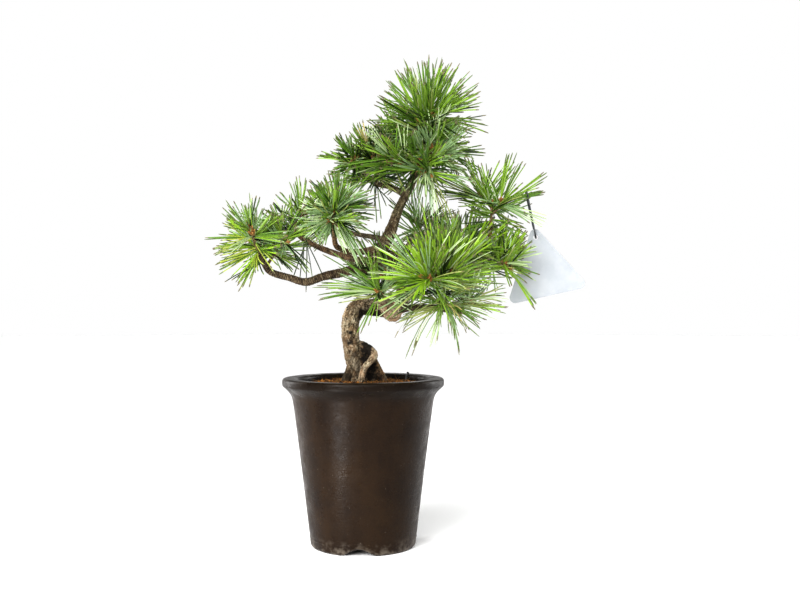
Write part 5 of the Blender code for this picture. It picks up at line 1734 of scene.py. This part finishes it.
@dataclass(frozen=True)
class Tag:
    """The bare triangular card with round corners and a punched hole."""

    centre: Row = (0.1673, 0.006, 0.2521)
    side: float = 0.079
    corner: float = 0.005
    turn: float = math.radians(12.4)
    thickness: float = 0.0008
    hole_radius: float = 0.0023
    hole_from_centre: float = 0.033
    corner_steps: int = 14
    edge_steps: int = 26
    bow: float = 0.0006
    white: Colour = tint(170, 173, 177)
    shade: Colour = tint(162, 166, 171)

    @property
    def inradius(self) -> float:
        """Distance from the centre to a side."""
        return self.side / (2 * math.sqrt(3))

    @property
    def hole(self) -> Array:
        """Centre of the hole, towards the upper corner."""
        angle = math.pi / 2 + self.turn
        way = np.array((math.cos(angle), 0, math.sin(angle)))
        return np.array(self.centre) + way * self.hole_from_centre

    def outline(self) -> Array:
        """The triangle's edge: a round stretch at each corner, joined by straight sides."""
        reach = self.side / math.sqrt(3) - 2 * self.corner
        middles = math.pi / 2 + self.turn + TURN * np.arange(3) / 3
        sweep = np.linspace(-math.pi / 3, math.pi / 3, self.corner_steps)
        angles = middles[:, None] + sweep
        arcs = np.stack(
            (
                reach * np.cos(middles)[:, None] + self.corner * np.cos(angles),
                reach * np.sin(middles)[:, None] + self.corner * np.sin(angles),
            ),
            -1,
        )
        after = np.roll(arcs, -1, axis=0)[:, 0]
        t = np.linspace(0, 1, self.edge_steps)[1:-1, None]
        sides = arcs[:, -1][:, None] + (after - arcs[:, -1])[:, None] * t
        flat = np.concatenate([arcs, sides], axis=1).reshape(-1, 2)
        return np.stack((flat[:, 0], np.zeros(len(flat)), flat[:, 1]), -1) + self.centre

    def build(self) -> Piece:
        """A ring of cross-sections from the hole out to the edge and back, bowed a little.

        A point is hole edge + (outline - hole edge) t on each face, where the hole's edge lies
        on the line from the hole's centre to the outline. The card is faintly clouded white.

        Returns:
            The tag.
        """
        outline = self.outline()
        rim = self.hole + self.hole_radius * unit(outline - self.hole)
        inner, half = 0.006, 0.5 * self.thickness
        face = np.concatenate((np.array((0.0, inner)), np.linspace(0.08, 0.92, 12), np.array((0.992, 1.0))))
        depth = np.full(len(face), -half)
        depth[[0, -1]] = -0.7 * half
        shares = np.concatenate((face, face[::-1]))
        depths = np.concatenate((depth, -depth[::-1]))
        grid = rim[None] + (outline - rim)[None] * shares[:, None, None]
        away = (grid[..., 0] - self.centre[0]) / self.side
        grid[..., 1] += depths[:, None] + self.bow * (4 * away**2 - 0.5)
        points = grid.reshape(-1, 3)
        tag = lay_mesh("tag_card", points, ring_faces(len(shares), len(outline), True))
        tag.data.set_sharp_from_angle(angle=math.radians(35))
        cloud, relief = (60, 4, 0.4, 0.6), (1800, 3, 0.00006, 0.4)
        card = Mottled("tag_card", self.white, self.shade, 0.4, 0.45, cloud, relief)
        return dress(tag, card.material(), ("tag",))


@dataclass(frozen=True)
class Tie:
    """The dark loop that holds the tag: a belt round its hole and round the carrying needles."""

    tag: Tag
    tuft: Tuft
    radius: float = 0.0007
    low_loop: float = 0.0016
    high_loop: float = 0.0046
    lowered: float = 0.0003
    top_at: float = 0.66

    def path(self) -> Array:
        """The belt's centre line: two arcs of 168 degrees, joined by straight runs."""
        tip = np.array(self.tuft.tip)
        low = self.tag.hole
        high = tip + (np.array(self.tuft.carries) - tip) * self.top_at
        along = unit(high - low)
        sideways = unit(np.array((0.0, 1.0, 0.0)) - along * along[1])
        arcs = []
        for centre, radius, middle in (
            (low + along * self.low_loop / 2, self.low_loop, -90),
            (high - along * self.lowered, self.high_loop, 90),
        ):
            angles = np.radians(np.linspace(middle - 84, middle + 84, 25))[:, None]
            arcs.append(centre + radius * (along * np.sin(angles) + sideways * np.cos(angles)))
        t = np.linspace(0, 1, 30)[1:-1, None]
        runs = [arcs[k][-1] + (arcs[1 - k][0] - arcs[k][-1]) * t for k in (0, 1)]
        return np.vstack([arcs[0], runs[0], arcs[1], runs[1]])

    def build(self) -> Piece:
        """Lays the loop as a round wire coated in dark plastic."""
        path = self.path()
        points, faces = tube_surface(path, np.full(len(path), self.radius), 12, True)
        cloud, relief = (260, 3, 0.4, 0.6), (1400, 3, 0.0001, 0.4)
        coat = Mottled("dark_tie", tint(44, 46, 50), tint(78, 80, 84), 0.42, 0.5, cloud, relief)
        return dress(lay_mesh("tie_loop", points, *faces), coat.material(), ("tag_tie",))


@dataclass(frozen=True)
class Studio:
    """A plain pale floor, soft light and the camera of the photograph."""

    camera_place: Row = (0.0339, -0.934, 0.2209)
    lens: float = 45.45
    sensor: float = 36.0
    floor_radius: float = 7.0
    sun_power: float = 3.0
    sun_angle: float = math.radians(60)
    sun_turn: Row = (42.0, -8.0)
    front_place: Row = (-0.75, -1.42, 0.80)
    front_size: Row = (0.8, 0.8)
    front_power: float = 33.0
    strip_place: Row = (-0.111, -0.175, 0.055)
    strip_size: Row = (0.014, 0.100)
    strip_power: float = 0.22
    strip_lean: float = math.radians(-19)
    rim_places: tuple[Row, ...] = ((-1.2, 0.75, 0.55), (1.2, 0.75, 0.55))
    rim_size: Row = (0.6, 1.0)
    rim_power: float = 14.0
    toning: float = 0.84

    def floor(self) -> None:
        """A wide round floor at the level of the pot's underside."""
        edge = self.floor_radius
        profile = np.array(((0, -0.002), (edge - 0.1, -0.002), (edge, 0), (2, 0), (0, 0)))
        points, faces = turned_surface(profile, 96)
        floor = lay_mesh("studio_floor", points, *faces)
        floor.data.shade_flat()
        mix = Recipe("studio_floor", 0.9, 0.1)
        mix.colour(tint(252, 252, 252))
        floor.data.materials.append(mix.material)

    def sky(self) -> None:
        """A plain dome: white low down, dimmer overhead."""
        world = bpy.data.worlds.new("studio_sky")
        world.use_nodes = True
        tree = world.node_tree
        way = tree.nodes.new("ShaderNodeTexCoord")
        parts = tree.nodes.new("ShaderNodeSeparateXYZ")
        fall = tree.nodes.new("ShaderNodeMapRange")
        for name, value in (("From Min", 0.3), ("From Max", 0.5), ("To Min", 1.0), ("To Max", 0.2)):
            fall.inputs[name].default_value = value
        tree.links.new(way.outputs["Generated"], parts.inputs["Vector"])
        tree.links.new(parts.outputs["Z"], fall.inputs["Value"])
        tree.links.new(fall.outputs["Result"], tree.nodes["Background"].inputs["Strength"])
        tree.nodes["Background"].inputs["Color"].default_value = (1, 1, 1, 1)
        bpy.context.scene.world = world

    def panel(self, name: str, place: Row, size: Row, power: float, lean: float = 0.0) -> None:
        """An upright panel of light that faces the pot's axis, leaning to a side."""
        lamp = bpy.data.lights.new(name, "AREA")
        lamp.shape, lamp.energy = "RECTANGLE", power
        lamp.size, lamp.size_y = size
        made = bpy.data.objects.new(name, lamp)
        made.location = place
        facing = Euler((math.pi / 2, 0, math.atan2(place[0], -place[1]))).to_matrix()
        made.rotation_euler = (facing @ Matrix.Rotation(lean, 3, "Z")).to_euler()
        made.visible_camera = False
        bpy.context.scene.collection.objects.link(made)

    def lamps(self) -> None:
        """A soft sun, a panel from the left front, a low strip for the pot's glaze, and two rim panels."""
        sun = bpy.data.lights.new("soft_sun", "SUN")
        sun.energy, sun.angle = self.sun_power, self.sun_angle
        high = bpy.data.objects.new("soft_sun", sun)
        high.rotation_euler = (math.radians(self.sun_turn[0]), 0, math.radians(self.sun_turn[1]))
        bpy.context.scene.collection.objects.link(high)
        self.panel("front_panel", self.front_place, self.front_size, self.front_power)
        self.panel("glaze_strip", self.strip_place, self.strip_size, self.strip_power, self.strip_lean)
        for number, place in enumerate(self.rim_places):
            self.panel(f"rim_panel_{number}", place, self.rim_size, self.rim_power)

    def build(self) -> None:
        """Floor, sky, lamps and the camera."""
        self.floor()
        self.sky()
        self.lamps()
        camera = bpy.data.cameras.new("camera")
        camera.lens, camera.sensor_width = self.lens, self.sensor
        made = bpy.data.objects.new("camera", camera)
        bpy.context.scene.collection.objects.link(made)
        made.location = self.camera_place
        made.rotation_euler = (math.pi / 2, 0, 0)
        bpy.context.scene.camera = made
        bpy.context.scene.view_settings.view_transform = "Standard"
        bpy.context.scene.view_settings.gamma = self.toning


def corners(box: tuple) -> list[list[float]]:
    """A box's two corners as plain lists of numbers."""
    return [[float(part) for part in corner] for corner in box]


def main() -> None:
    """Builds every sub-assembly in order."""
    logging.basicConfig(level=logging.INFO, format="%(name)s: %(message)s")
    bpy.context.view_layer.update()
    pot = Pot()
    tag = Tag()
    wood = Wood()
    pot.build(DarkGlaze())
    Soil(pot).build()
    wood.build()
    Foliage(wood, tag, pot).build()
    tag.build()
    Tie(tag, next(tuft for tuft in TUFTS if tuft.carries)).build()
    Studio().build()


if __name__ == "__main__":
    main()
